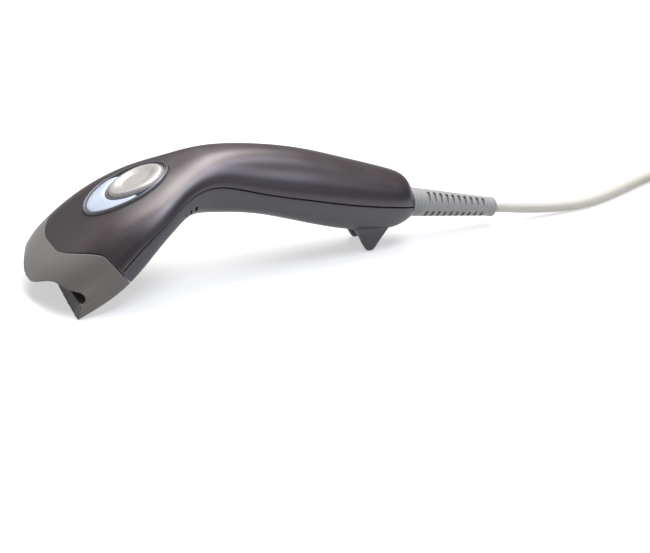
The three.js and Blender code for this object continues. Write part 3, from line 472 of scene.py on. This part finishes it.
def make_leg(side):
    """A blade that widens into the belly, with rounded edges."""
    outline = np.array(leg_outline())
    inwards = outline.mean(axis=0) - outline
    inwards /= np.linalg.norm(inwards, axis=1)[:, None]
    rings = []
    for half in (-1, 1):
        for depth, shrink in LEG_EDGE[::-half]:
            pts = outline + inwards * shrink
            pts[:, 1] = np.maximum(pts[:, 1], 0.02)
            flare = np.clip((pts[:, 1] - 4) / 12, 0, 1) ** 1.6 * 1.6
            y = side * LEG_Y + half * (LEG_HALF - depth + flare)
            rings.append(np.column_stack([pts[:, 0], y, pts[:, 1]]))
    n = len(outline)
    faces = grid_faces(len(rings), n, closed=True)
    faces.append(tuple(range(n)))
    faces.append(tuple(range(len(rings) * n - 1, (len(rings) - 1) * n - 1, -1)))
    return new_mesh("leg", np.vstack(rings), faces)


def face_outward(mesh):
    bm = bmesh.new()
    bm.from_mesh(mesh)
    bmesh.ops.recalc_face_normals(bm, faces=bm.faces)
    bm.to_mesh(mesh)
    bm.free()
    return mesh


boolean(lower, [face_outward(make_leg(-1)), face_outward(make_leg(1))], "UNION", solver="EXACT")
smooth(lower.data, 40)

# ------------------------------------------------------------------ nose cover


def visor_edge(y):
    a = np.abs(y)
    return 8.4 + 6.2 * smoothstep((a - 2) / 22) - 2.1 * smoothstep((a - 25) / 8)


def mouth_tool():
    across = np.linspace(-38, 38, 61)
    outline = [(-38, JAW_HEIGHT), (38, JAW_HEIGHT), *[(y, float(visor_edge(y))) for y in across[::-1]]]
    return prism("tool", outline, -60, 0, ALONG)


def mouth_ends_tools():
    """The rounded ends of the mouth, which go on through the cheeks."""
    outline = [(-1, JAW_HEIGHT), (2, JAW_HEIGHT + 0.05), (3.2, JAW_HEIGHT + 0.45), (4.1, 8.2), (4.6, 9.1)]
    outline += [(4.6, 10), (4.2, 11), (3.4, 11.8), (2.2, 12.4), (-1, 12.8)]
    return [prism("tool", outline, -60, -CHEEK, ACROSS), prism("tool", outline, CHEEK, 60, ACROSS)]


def arch_tool():
    """The low arch under the jaw, between its two flat feet."""
    across = np.linspace(-JAW_ARCH, JAW_ARCH, 41)
    share = 1 - np.abs(across) / JAW_ARCH
    outline = [(-JAW_ARCH, -20), *zip(across, 0.99 * share + 1.83 * share**2), (JAW_ARCH, -20)]
    return prism("tool", [(float(a), float(b)) for a, b in outline], -30, 24, ALONG)


def jaw_tool():
    lean = Matrix(((1, 0, JAW_LEAN / JAW_HEIGHT, 0), (0, 1, 0, 0), (0, 0, 1, 0), (0, 0, 0, 1)))
    across = np.linspace(-42, 42, 41)
    outline = [(JAW_HOLLOW * max(0, 1 - (y / 37) ** 2), y) for y in across] + [(-40, 42), (-40, -42)]
    return prism("tool", outline, -20, JAW_HEIGHT + 0.05, lean)


HOLLOW_END = 4.6  # the station where the nose cover's hollow ends
NOSE_VOXEL = 0.36


def make_nose():
    outer = closed_loft("nose_shroud", lambda a: 0.0 * a, lambda a: nose_edge(a) - NOSE_SEAM, 70)
    obj = add_object("nose_shroud", outer, replaces=["nose_cover"])
    inside = closed_loft("inside", lambda a: 0.0 * a, lambda a: 0.0 * a + HOLLOW_END, 60, NOSE_WALL, 160)
    hollow = bpy.data.objects.new("hollow", inside)
    bpy.context.collection.objects.link(hollow)
    jaw = prism("tool", [(-40, -20), (6.8, -20), (8.2, JAW_HEIGHT), (-40, JAW_HEIGHT)], -60, 60, ACROSS)
    boolean(hollow, [face_outward(jaw)])
    floor_tool = prism("tool", [(-60, -60), (60, -60), (60, 60), (-60, 60)], -30, 0)
    tools = [hollow.data.copy(), mouth_tool(), *mouth_ends_tools(), jaw_tool(), arch_tool(), floor_tool]
    bpy.data.objects.remove(hollow)
    boolean(obj, [face_outward(m) for m in tools])
    mod = obj.modifiers.new("even", "REMESH")
    mod.mode, mod.voxel_size, mod.use_smooth_shade = "VOXEL", NOSE_VOXEL * MM, True
    soft = obj.modifiers.new("soften", "SMOOTH")
    soft.factor, soft.iterations = 0.5, 4
    baked(obj)
    obj.data.polygons.foreach_set("use_smooth", np.ones(len(obj.data.polygons), bool))
    mark_jaw_shade(obj.data)
    return obj


def mark_jaw_shade(mesh):
    """Marks the jaw's front face, which the nose's material darkens as painted shade."""
    count = len(mesh.vertices)
    at, facing = np.empty(count * 3), np.empty(count * 3)
    mesh.vertices.foreach_get("co", at)
    mesh.vertex_normals.foreach_get("vector", facing)
    at, facing = at.reshape(-1, 3) / MM - (SHIFT, 0, 0), facing.reshape(-1, 3)
    # share of painted shade: faces pointing forwards, low on the jaw
    jaw_shade_share = smoothstep((-facing[:, 0] - 0.55) / 0.25) * (at[:, 2] < JAW_HEIGHT + 0.6) * (at[:, 0] > -4)
    layer = mesh.attributes.new("jaw", "FLOAT", "POINT")
    layer.data.foreach_set("value", jaw_shade_share.astype(np.float32))


make_nose()

# ------------------------------------------------------------------ trigger


def skin_tree():
    turns = even_turns(0, 180, 160)
    t = np.linspace(2.2, 8, 160)
    points, _ = skin(t[:, None], turns[None, :])
    return BVHTree.FromPolygons([Vector(p) for p in points.reshape(-1, 3)], grid_faces(160, 160))


SKIN_TREE = skin_tree()
DOWN = TRIGGER.to_3x3() @ Vector((0, 0, -1))


def skin_height(x, y):
    """Height of the skin over the trigger's frame at local x, y."""
    hit = SKIN_TREE.ray_cast(TRIGGER @ Vector((x, y, 30)), DOWN)[0]
    return (TRIGGER.inverted() @ hit).z


def on_skin(local):
    """Working-frame points of local (x, y, height over the skin)."""
    return [TRIGGER @ Vector((x, y, skin_height(x, y) + h)) for x, y, h in local]


RIM, LIP, GROOVE = 1.8, 1.5, 0.3  # widths of the ring's outer rim, inner lip and the way between


def rim_and_hole(turn):
    """Outer rim point, hole point, and the shares of the way between them that rim and lip take."""
    outer = np.array([BEZEL[0] * math.cos(turn), BEZEL[1] * math.sin(turn)])
    reach = (BUTTON[0] + BUTTON_GAP, BUTTON[1] + BUTTON_GAP)
    hole = np.array([BUTTON_X + reach[0] * math.cos(turn), reach[1] * math.sin(turn)])
    way = np.linalg.norm(hole - outer)
    shrink = min(1, way / (RIM + LIP + GROOVE))
    return outer, hole, RIM * shrink / way, 1 - LIP * shrink / way


def make_ring():
    rim = [(0, -3.2), (0, 0.55), (0.06, 0.95), (0.2, 1.25), (0.42, 1.42), (0.64, 1.38), (0.82, 1.15)]
    rim += [(0.94, 0.8), (1, 0.3)]
    lip = [(0, 0.2), (0.12, 0.62), (0.35, 0.86), (0.65, 0.9), (0.88, 0.74), (1, 0.4), (1, -3.2)]
    sides, rows = 180, []
    for i in range(sides):
        turn = 2 * math.pi * i / sides
        outer, hole, a, b = rim_and_hole(turn)
        local = [(*(outer + (hole - outer) * a * s), h) for s, h in rim]
        local += [(*(outer + (hole - outer) * (a + (b - a) * s)), -0.9) for s in (0.04, 0.35, 0.65, 0.96)]
        local += [(*(outer + (hole - outer) * (b + (1 - b) * s)), h) for s, h in lip]
        rows.append(on_skin(local))
    n = len(rows[0])
    points = [p for r in rows for p in r]
    faces = []
    for i in range(sides):
        k = (i + 1) % sides
        for j in range(n):
            m = (j + 1) % n
            faces.append((i * n + j, k * n + j, k * n + m, i * n + m))
    mesh = face_outward(new_mesh("trigger_ring", points, faces))
    smooth(mesh, 50)
    return add_object("trigger_ring", mesh, replaces=["trigger_bezel"])


def make_crescent():
    """The indicator lens: a crescent between the ring's rim and the lip round the button."""
    half_span = math.radians(79)
    profile = [(0, -0.8), (0, 0.35), (0.03, 0.62), (0.1, 0.78), (0.3, 0.95), (0.5, 1.0)]
    profile += [(0.7, 0.95), (0.9, 0.78), (0.97, 0.62), (1, 0.35), (1, -0.8)]
    steps, rows = 120, []
    for i in range(steps + 1):
        turn = math.pi - half_span + 2 * half_span * i / steps
        outer, hole, a, b = rim_and_hole(turn)
        way = np.linalg.norm(hole - outer)
        a, b = a + 0.18 / way, b - 0.18 / way
        end = min(i, steps - i) / 4
        drop = 0 if end >= 1 else 0.5 * (1 - math.sqrt(1 - (1 - end) ** 2))
        local = []
        for s, h in profile:
            at = outer + (hole - outer) * (a + (b - a) * s)
            local.append((*at, h - (drop if h > 0 else 0)))
        rows.append(on_skin(local))
    n = len(profile)
    points = [p for r in rows for p in r]
    faces = []
    for i in range(steps):
        for j in range(n):
            m = (j + 1) % n
            faces.append((i * n + j, (i + 1) * n + j, (i + 1) * n + m, i * n + m))
    faces.append(tuple(range(n)))
    faces.append(tuple(range(steps * n, steps * n + n)))
    mesh = face_outward(new_mesh("light_crescent", points, faces))
    smooth(mesh, 50)
    return add_object("light_crescent", mesh, replaces=["indicator_lens"])


def button_height(u, v):
    """Height of the button's top at a share of its half axes: a rolled edge, a crest and a dish."""
    rho = math.hypot(u, v)
    edge = 2.15 - 1.5 * max(0.0, (rho - 0.86) / 0.14) ** 2.2
    du, dv = (u - 0.02) / 0.8, (v - 0.1) / 0.76
    dish = 1 - math.hypot(du, dv)
    width = 0.2 + 0.22 * (1 + v)
    return edge - 1.0 * float(smoothstep(dish / width)) if dish > 0 else edge


BUTTON_SIDES = 144
# share of the button's half axes, and height over the skin
BUTTON_WALLS = ((1, -0.2), (1, -3.0), (0.9, -3.0), (0.9, -1.2), (0.12, -1.0))
STEM_RADIUS, STEM_LOW = 1.6, -5.0


def make_button():
    """The button's cap: its dished top, a skirt, the inside of the skirt and a stem down to the switch."""
    turns = [2 * math.pi * i / BUTTON_SIDES for i in range(BUTTON_SIDES)]
    around = [(math.cos(a), math.sin(a)) for a in turns]
    shares = np.concatenate([np.linspace(0.03, 0.84, 46), np.linspace(0.855, 1, 14)])
    local = [(BUTTON_X, 0, button_height(0, 0))]
    for share in shares:
        for c, s in around:
            u, v = share * c, share * s
            local.append((BUTTON_X + BUTTON[0] * u, BUTTON[1] * v, button_height(u, v)))
    for share, height in BUTTON_WALLS:
        local += [(BUTTON_X + BUTTON[0] * share * c, BUTTON[1] * share * s, height) for c, s in around]
    points = on_skin(local)
    points += [TRIGGER @ Vector((BUTTON_X + STEM_RADIUS * c, STEM_RADIUS * s, STEM_LOW)) for c, s in around]
    rings = len(shares) + len(BUTTON_WALLS) + 1
    faces = grid_faces(rings, BUTTON_SIDES, closed=True, first=1)
    faces += [(0, 1 + i, 1 + (i + 1) % BUTTON_SIDES) for i in range(BUTTON_SIDES)]
    base = 1 + (rings - 1) * BUTTON_SIDES
    faces.append(tuple(range(base, base + BUTTON_SIDES)))
    mesh = face_outward(new_mesh("trigger_cap", points, faces))
    smooth(mesh, 50)
    return add_object("trigger_cap", mesh, body="trigger", replaces=["trigger_button"])


make_ring()
make_crescent()
make_button()

# ------------------------------------------------------------------ boot, strap and plug

BOOT_AXIS = Vector(BOOT_TO) - Vector(BOOT_FROM)
BOOT_LENGTH = BOOT_AXIS.length
BOOT = tilted(BOOT_FROM, math.asin(BOOT_AXIS.normalized().z))
BOOT_BORE = 2.75


def boot_radius(x):
    return BOOT_RADII[0] + (BOOT_RADII[1] - BOOT_RADII[0]) * x / BOOT_LENGTH


def make_boot():
    ridge = [(0.15, 7.0), (0.5, 7.2), (1.1, 7.2), (1.45, 6.95), (1.7, 6.7), (2.0, 6.7), (2.3, 6.95)]
    ridge += [(2.6, 7.08), (2.9, 7.05), (3.2, 6.7), (3.5, 6.62), (3.8, 6.85)]
    ridge += [(4.1, 6.98), (4.5, 6.95), (4.9, 6.7)]
    profile = [(-6.5, BOOT_BORE), (-6.5, 4.8), (-1.2, 4.8), (-1.2, 6.6), *ridge]
    profile += [(x, boot_radius(x)) for x in np.linspace(5.6, BOOT_LENGTH - 3.6, 24)]
    end = BOOT_LENGTH
    profile += [(end - 3.2, 4.72), (end - 2.8, 4.85), (end - 1.2, 4.8), (end - 0.5, 4.6), (end - 0.1, 4.1)]
    profile += [(end, 3.4), (end, BOOT_BORE)]
    sides = 72
    points = []
    for x, r in profile:
        for i in range(sides):
            a = 2 * math.pi * i / sides
            points.append(BOOT @ Vector((x, r * math.cos(a), r * math.sin(a))))
    n = len(profile)
    faces = grid_faces(n, sides, closed=True)
    last = (n - 1) * sides
    faces += [(last + i, last + (i + 1) % sides, (i + 1) % sides, i) for i in range(sides)]
    mesh = face_outward(new_mesh("cable_boot", points, faces))
    obj = add_object("cable_boot", mesh, replaces=["strain_relief"])
    boolean(obj, [slot_tools()], solver="EXACT")
    smooth(obj.data, 40)
    return obj


SLOTS, SLOT_PITCH, SLOT_FROM = 10, 3.38, 8.0


def slot_tools():
    """Rounded slots in four rows round the boot, all in one mesh."""
    points, faces = [], []
    for row_turn in (45, 135, 225, 315):
        frame_turn = Matrix.Rotation(math.radians(row_turn), 4, "X")
        for k in range(SLOTS):
            x0 = SLOT_FROM + k * SLOT_PITCH
            reach = boot_radius(x0)
            half_long, half_wide = reach * 0.46, 0.82
            outline = []
            for end in (1, -1):
                for a in np.linspace(0, math.pi, 9):
                    across = half_long - half_wide + half_wide * math.sin(a)
                    outline.append((x0 + half_wide * math.cos(a) * end, end * across))
            n, base = len(outline), len(points)
            for z in (reach - 1.5, reach + 3):
                points += [BOOT @ frame_turn @ Vector((x, y, z)) for x, y in outline]
            faces += [tuple(base + i for i in range(n)), tuple(base + n + i for i in range(n - 1, -1, -1))]
            faces += [(base + i, base + n + i, base + n + (i + 1) % n, base + (i + 1) % n) for i in range(n)]
    return face_outward(new_mesh("tool", points, faces))


make_boot()


def rounded_loop(half_wide, half_high, radius, steps=6):
    """Rectangle with rounded corners, as (a, b) pairs."""
    out = []
    for cx, cy, start in ((1, 1, 0), (-1, 1, 90), (-1, -1, 180), (1, -1, 270)):
        for i in range(steps + 1):
            a = math.radians(start + 90 * i / steps)
            x = cx * (half_wide - radius) + radius * math.cos(a)
            out.append((x, cy * (half_high - radius) + radius * math.sin(a)))
    return out


def make_strap():
    """A hook-and-loop strap round the coil's bundle."""
    centre = Vector((*COIL_CENTRE, (COIL_LAYERS[0] + COIL_LAYERS[1]) / 2))
    out_by = Matrix.Translation((sum(COIL_RADII) / len(COIL_RADII), 0, 0))
    place = Matrix.Translation(centre) @ Matrix.Rotation(math.radians(200), 4, "Z") @ out_by
    inner = rounded_loop(11.0, 5.5, 2.6)
    outer = rounded_loop(11.9, 6.4, 3.5)
    points, n = [], len(inner)
    across = [(-4, 0.35), (-3.75, 0), (3.75, 0), (4, 0.35)]
    for y, tuck in across:
        for (a, b), (c, d) in zip(inner, outer):
            points.append(place @ Vector((c - (c - a) * tuck, y, d - (d - b) * tuck)))
    for y, _ in across[::-1]:
        for a, b in inner:
            points.append(place @ Vector((a, y, b)))
    rings = len(across) * 2
    faces = []
    for i in range(rings):
        k = (i + 1) % rings
        for j in range(n):
            m = (j + 1) % n
            faces.append((i * n + j, i * n + m, k * n + m, k * n + j))
    mesh = face_outward(new_mesh("coil_strap", points, faces))
    smooth(mesh, 40)
    return add_object("coil_strap", mesh, replaces=["cable_tie"])


def make_plug():
    """The moulded grip of the plug: rounded, with five grip grooves."""
    low, high = (Vector(v) / MM - Vector((SHIFT, 0, 0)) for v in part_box("plug_body"))
    mid_x, mid_z = (low.x + high.x) / 2, (low.z + high.z) / 2
    half_wide, half_high = (high.x - low.x) / 2, (high.z - low.z) / 2
    stations = [(0, 0.5), (0.35, 0.62), (1.0, 0.72), (1.8, 0.8), (3.2, 0.86)]
    for k in range(5):
        y = 4.2 + k * 1.5
        stations += [(y, 0.9), (y + 0.25, 0.84), (y + 0.75, 0.84), (y + 1.0, 0.9)]
    stations += [(12.4, 0.93), (14.5, 0.98), (18.6, 1.0), (19.4, 0.97), (19.8, 0.93), (20, 0.87)]
    rings = []
    for s, size in stations:
        loop = rounded_loop(half_wide * size, half_high * size, min(half_high * size * 0.62, 3.2))
        rings.append([Vector((mid_x + a, high.y - s, mid_z + b)) for a, b in loop])
    n = len(rings[0])
    points = [p for r in rings for p in r]
    faces = grid_faces(len(rings), n, closed=True)
    faces += [tuple(range(n)), tuple(range((len(rings) - 1) * n, len(rings) * n))]
    mesh = face_outward(new_mesh("plug_grip", points, faces))
    smooth(mesh, 40)
    return add_object("plug_grip", mesh, replaces=["plug_body"])


strap = make_strap()
plug = make_plug()

# ------------------------------------------------------------------ materials


class Finish:
    """A Principled material with its own procedural colour, roughness and bump."""

    def __init__(self, name, colour, roughness, specular=0.5, metallic=0.0, **sockets):
        self.mat = bpy.data.materials.new(name)
        self.mat.use_nodes = True
        self.tree = self.mat.node_tree
        self.shader = self.tree.nodes["Principled BSDF"]
        self.where = self.tree.nodes.new("ShaderNodeTexCoord")
        self.colour = None
        self.set("Base Color", (*colour, 1))
        self.set("Roughness", roughness)
        self.set("Specular IOR Level", specular)
        self.set("Metallic", metallic)
        for key, value in sockets.items():
            self.set(key.replace("_", " ").title().replace("Ior", "IOR"), value)
        self.base, self.rough = colour, roughness
        self.bumps = []

    def set(self, socket, value):
        self.shader.inputs[socket].default_value = value

    def node(self, kind, **settings):
        n = self.tree.nodes.new(kind)
        for key, value in settings.items():
            setattr(n, key, value)
        return n

    def link(self, a, b):
        self.tree.links.new(a, b)

    def noise(self, size_mm, detail=3.0, stretch=(1, 1, 1)):
        """Noise with features of about that size."""
        place = self.node("ShaderNodeMapping")
        place.inputs["Scale"].default_value = stretch
        self.link(self.where.outputs["Object"], place.inputs["Vector"])
        n = self.node("ShaderNodeTexNoise")
        n.inputs["Scale"].default_value = 1 / (size_mm * MM)
        n.inputs["Detail"].default_value = detail
        self.link(place.outputs["Vector"], n.inputs["Vector"])
        return n.outputs["Fac"]

    def spread(self, value, low, high, from_low=0.3, from_high=0.7):
        m = self.node("ShaderNodeMapRange")
        m.inputs["From Min"].default_value, m.inputs["From Max"].default_value = from_low, from_high
        m.inputs["To Min"].default_value, m.inputs["To Max"].default_value = low, high
        self.link(value, m.inputs["Value"])
        return m.outputs["Result"]

    def vary_colour(self, value, other):
        """Mixes the colour so far towards another by value."""
        mix = self.node("ShaderNodeMix", data_type="RGBA")
        self.link(value, mix.inputs["Factor"])
        if self.colour is None:
            mix.inputs["A"].default_value = (*self.base, 1)
        else:
            self.link(self.colour, mix.inputs["A"])
        mix.inputs["B"].default_value = (*other, 1)
        self.colour = mix.outputs["Result"]
        self.link(self.colour, self.shader.inputs["Base Color"])
        return self

    def vary_rough(self, value, amount):
        varied = self.spread(value, self.rough - amount, self.rough + amount)
        self.link(varied, self.shader.inputs["Roughness"])
        return self

    def bump(self, value, depth_mm, strength=1.0):
        b = self.node("ShaderNodeBump")
        b.inputs["Strength"].default_value = strength
        b.inputs["Distance"].default_value = depth_mm * MM
        self.link(value, b.inputs["Height"])
        if self.bumps:
            self.link(self.bumps[-1], b.inputs["Normal"])
        self.bumps.append(b.outputs["Normal"])
        self.link(self.bumps[-1], self.shader.inputs["Normal"])
        return self

    def edges(self, colour, share=0.25):
        """Painted highlight along convex edges: a lighter colour where the surface is most pointed."""
        g = self.node("ShaderNodeNewGeometry")
        return self.vary_colour(self.spread(g.outputs["Pointiness"], 0, share, 0.54, 0.64), colour)


def linear(r, g, b):
    """sRGB 0..255 to linear."""
    return tuple(((c / 255 + 0.055) / 1.055) ** 2.4 if c > 10 else c / 255 / 12.92 for c in (r, g, b))


def attribute(finish, name):
    a = finish.node("ShaderNodeAttribute", attribute_name=name)
    return a.outputs["Fac"]


def housing_finish(name, painted_warm_light):
    f = Finish(name, linear(25, 22, 27), 0.4, 0.85)
    # Painted light: the upper shell's pink specular tint and its lighter, warmer crown stand in for warm
    # overhead light; the lower shell's bluish tint stands in for cool side light.
    f.set("Specular Tint", (1.0, 0.92, 0.95, 1) if painted_warm_light else (0.95, 0.92, 1.0, 1))
    if painted_warm_light:
        f.vary_colour(attribute(f, "crown"), linear(40, 33, 33))
    f.vary_colour(f.spread(f.noise(24, 2), 0, 0.18), linear(36, 33, 35))
    f.vary_rough(f.noise(9, 3), 0.03)
    f.bump(f.noise(0.5, 2), 0.012, 0.6)
    f.bump(f.noise(4, 2), 0.02, 0.3)
    # lighter convex edges: painted edge highlight
    return f.edges(linear(96, 93, 93), 0.3)


def nose_finish():
    f = Finish("nose_rubber", linear(96, 92, 87), 0.6, 0.3, sheen_weight=0.15, sheen_roughness=0.5)
    f.vary_colour(f.spread(f.noise(14, 3), 0, 0.35), linear(88, 86, 84))
    # painted shade: darker on the jaw's front face
    f.vary_colour(attribute(f, "jaw"), linear(58, 54, 51))
    f.vary_rough(f.noise(5, 3), 0.05)
    f.bump(f.noise(0.35, 2), 0.02, 0.7)
    return f


def ring_finish():
    f = Finish("ring_plastic", linear(84, 84, 88), 0.32, 0.55)
    f.vary_rough(f.noise(3), 0.06)
    f.bump(f.noise(0.4, 2), 0.008, 0.5)
    # lighter convex edges: painted edge highlight
    return f.edges(linear(120, 120, 124), 0.5)


def crescent_finish():
    f = Finish("crescent_plastic", linear(160, 171, 184), 0.3, 0.5,
               subsurface_weight=0.25, subsurface_scale=0.003)
    f.set("Subsurface Radius", (0.6, 0.8, 1.0))
    f.vary_colour(f.spread(f.noise(7, 2), 0, 0.5), linear(184, 193, 203))
    f.vary_rough(f.noise(4), 0.03)
    f.bump(f.noise(1.2, 2), 0.003, 0.3)
    return f


def button_finish():
    f = Finish("button_paint", linear(172, 168, 164), 0.36, 0.6, metallic=0.4)
    f.vary_colour(f.spread(f.noise(10, 2), 0, 0.4), linear(160, 156, 152))
    f.vary_rough(f.noise(4), 0.03)
    f.bump(f.noise(0.4, 2), 0.002, 0.3)
    # lighter convex edges: painted edge highlight
    return f.edges(linear(205, 203, 200), 0.5)


def boot_finish():
    f = Finish("boot_rubber", linear(132, 132, 130), 0.6, 0.35, sheen_weight=0.1)
    f.vary_colour(f.spread(f.noise(5, 3), 0, 0.4), linear(120, 120, 119))
    f.bump(f.noise(0.4, 3), 0.02, 0.6)
    # lighter convex edges: painted edge highlight
    return f.edges(linear(165, 164, 160), 0.4)


def cable_finish():
    f = Finish("cable_jacket", linear(176, 171, 162), 0.5, 0.45)
    f.vary_colour(f.spread(f.noise(12, 3), 0, 0.4), linear(160, 156, 148))
    f.vary_rough(f.noise(3), 0.06)
    f.bump(f.noise(0.6, 2), 0.012, 0.5)
    return f


def strap_finish():
    f = Finish("strap_fabric", linear(38, 38, 41), 0.85, 0.2, sheen_weight=0.4)
    f.vary_colour(f.spread(f.noise(0.5, 2), 0, 0.6), linear(62, 62, 66))
    f.bump(f.noise(0.35, 2), 0.08, 0.9)
    return f


def board_finish():
    f = Finish("board_laminate", linear(30, 92, 52), 0.38, 0.5)
    f.vary_colour(f.spread(f.noise(1.2, 1, (1, 6, 1)), 0, 0.8, 0.5, 0.54), linear(60, 130, 80))
    f.vary_rough(f.noise(2), 0.08)
    f.bump(f.noise(1.2, 1, (1, 6, 1)), 0.03, 0.5)
    return f


def black_finish():
    f = Finish("moulded_black", linear(26, 26, 29), 0.5, 0.4)
    f.vary_colour(f.spread(f.noise(6, 2), 0, 0.5), linear(36, 36, 39))
    f.bump(f.noise(0.3, 2), 0.02, 0.6)
    return f


def steel_finish():
    f = Finish("bright_steel", linear(186, 188, 192), 0.28, 0.5, metallic=0.95)
    f.vary_colour(f.spread(f.noise(3, 3), 0, 0.4), linear(160, 162, 168))
    f.vary_rough(f.noise(0.4, 3, (1, 8, 1)), 0.08)
    f.bump(f.noise(0.3, 2, (1, 8, 1)), 0.005, 0.4)
    return f


def window_finish():
    f = Finish("red_filter", linear(96, 12, 20), 0.08, 0.6, coat_weight=0.4)
    f.vary_colour(f.spread(f.noise(9, 2), 0, 0.4), linear(70, 8, 16))
    f.vary_rough(f.noise(4), 0.02)
    return f


def white_finish():
    f = Finish("white_nylon", linear(228, 226, 218), 0.5, 0.4)
    f.vary_colour(f.spread(f.noise(2, 2), 0, 0.5), linear(212, 209, 200))
    f.bump(f.noise(0.4, 2), 0.01, 0.5)
    return f


def glass_finish():
    f = Finish("lens_glass", linear(200, 222, 232), 0.04, 0.7, transmission_weight=0.85)
    f.vary_rough(f.noise(2), 0.01)
    return f


def paint(obj, finish):
    if obj.material_slots:
        for s in obj.material_slots:
            s.material = finish.mat
    else:
        obj.data.materials.append(finish.mat)


FINISHES = {
    "upper_shell": housing_finish("upper_shell_plastic", True),
    "lower_shell": housing_finish("lower_shell_plastic", False),
    "nose": nose_finish(), "ring": ring_finish(), "crescent": crescent_finish(), "button": button_finish(),
    "boot": boot_finish(), "cable": cable_finish(), "strap": strap_finish(),
}
# Finishes for the CAD nodes that stay, by the record's slot.
BY_SLOT = {
    "board": board_finish(), "black": black_finish(), "steel": steel_finish(), "window": window_finish(),
    "white": white_finish(), "glass": glass_finish(), "housing": FINISHES["lower_shell"],
    "nose": FINISHES["nose"], "bezel": FINISHES["ring"], "lens": FINISHES["crescent"],
    "button": FINISHES["button"], "boot": FINISHES["boot"], "cable": FINISHES["cable"],
}
for part in frame["record"]["subparts"]:
    paint(NODES[part["node"]], BY_SLOT[part["material_slot"]])
LOOKS = {
    "upper_shell": ("upper_shell", "housing"), "lower_shell": ("lower_shell", "housing"),
    "nose_shroud": ("nose", "nose"), "trigger_ring": ("ring", "bezel"),
    "light_crescent": ("crescent", "lens"),
    "trigger_cap": ("button", "button"), "cable_boot": ("boot", "boot"), "host_cable": ("cable", "cable"),
    "coil_strap": ("strap", "black"), "plug_grip": ("boot", "boot"),
}
for name, (finish, slot_name) in LOOKS.items():
    bpy.data.objects[name].data.materials.clear()
    bpy.data.objects[name].data.materials.append(FINISHES[finish].mat)

# ------------------------------------------------------------------ table, lights and world


def make_table():
    mesh = bpy.data.meshes.new("table_top")
    size = 6
    corners = [(-size, -size, 0), (size, -size, 0), (size, size, 0), (-size, size, 0)]
    mesh.from_pydata(corners, [], [(0, 1, 2, 3)])
    table = bpy.data.objects.new("table_top", mesh)
    table.location.z = -0.0002
    bpy.context.collection.objects.link(table)
    f = Finish("table_paint", (0.42, 0.42, 0.424), 0.8, 0.1,
               emission_color=(1, 1, 1, 1), emission_strength=0.55)
    f.vary_colour(f.spread(f.noise(300, 2), 0, 0.3), (0.4, 0.4, 0.404))
    paint(table, f)


def area_light(name, at, look, size, power, colour):
    data = bpy.data.lights.new(name, "AREA")
    data.shape = "RECTANGLE"
    data.size, data.size_y = size
    data.energy = power
    data.color = colour
    light = bpy.data.objects.new(name, data)
    light.location = at
    light.rotation_mode = "QUATERNION"
    light.rotation_quaternion = (Vector(look) - Vector(at)).to_track_quat("-Z", "Y")
    bpy.context.collection.objects.link(light)


def make_world():
    world = bpy.data.worlds.new("studio")
    world.use_nodes = True
    background = world.node_tree.nodes["Background"]
    background.inputs["Color"].default_value = (0.92, 0.95, 1, 1)
    background.inputs["Strength"].default_value = 0.22
    bpy.context.scene.world = world


make_table()
area_light("overhead", (0.14, 0.46, 1.2), (0.02, 0, 0), (0.85, 1.1), 29, (1.0, 0.965, 0.955))
area_light("shoulder_strip", (0.3, -0.4, 1.2), (0.02, 0, 0.03), (1.0, 0.5), 16, (0.86, 0.9, 1.0))
area_light("side_strip", (0.5, -1.25, 0.6), (0.02, 0, 0.03), (0.9, 0.35), 1.2, (0.86, 0.9, 1.0))
area_light("back_fill", (-0.9, 1.0, 0.8), (0, 0, 0.03), (0.8, 0.8), 1.5, (1, 1, 1))
make_world()
bpy.context.scene.view_settings.view_transform = "Standard"
bpy.context.scene.view_settings.look = "None"

bpy.context.view_layer.update()
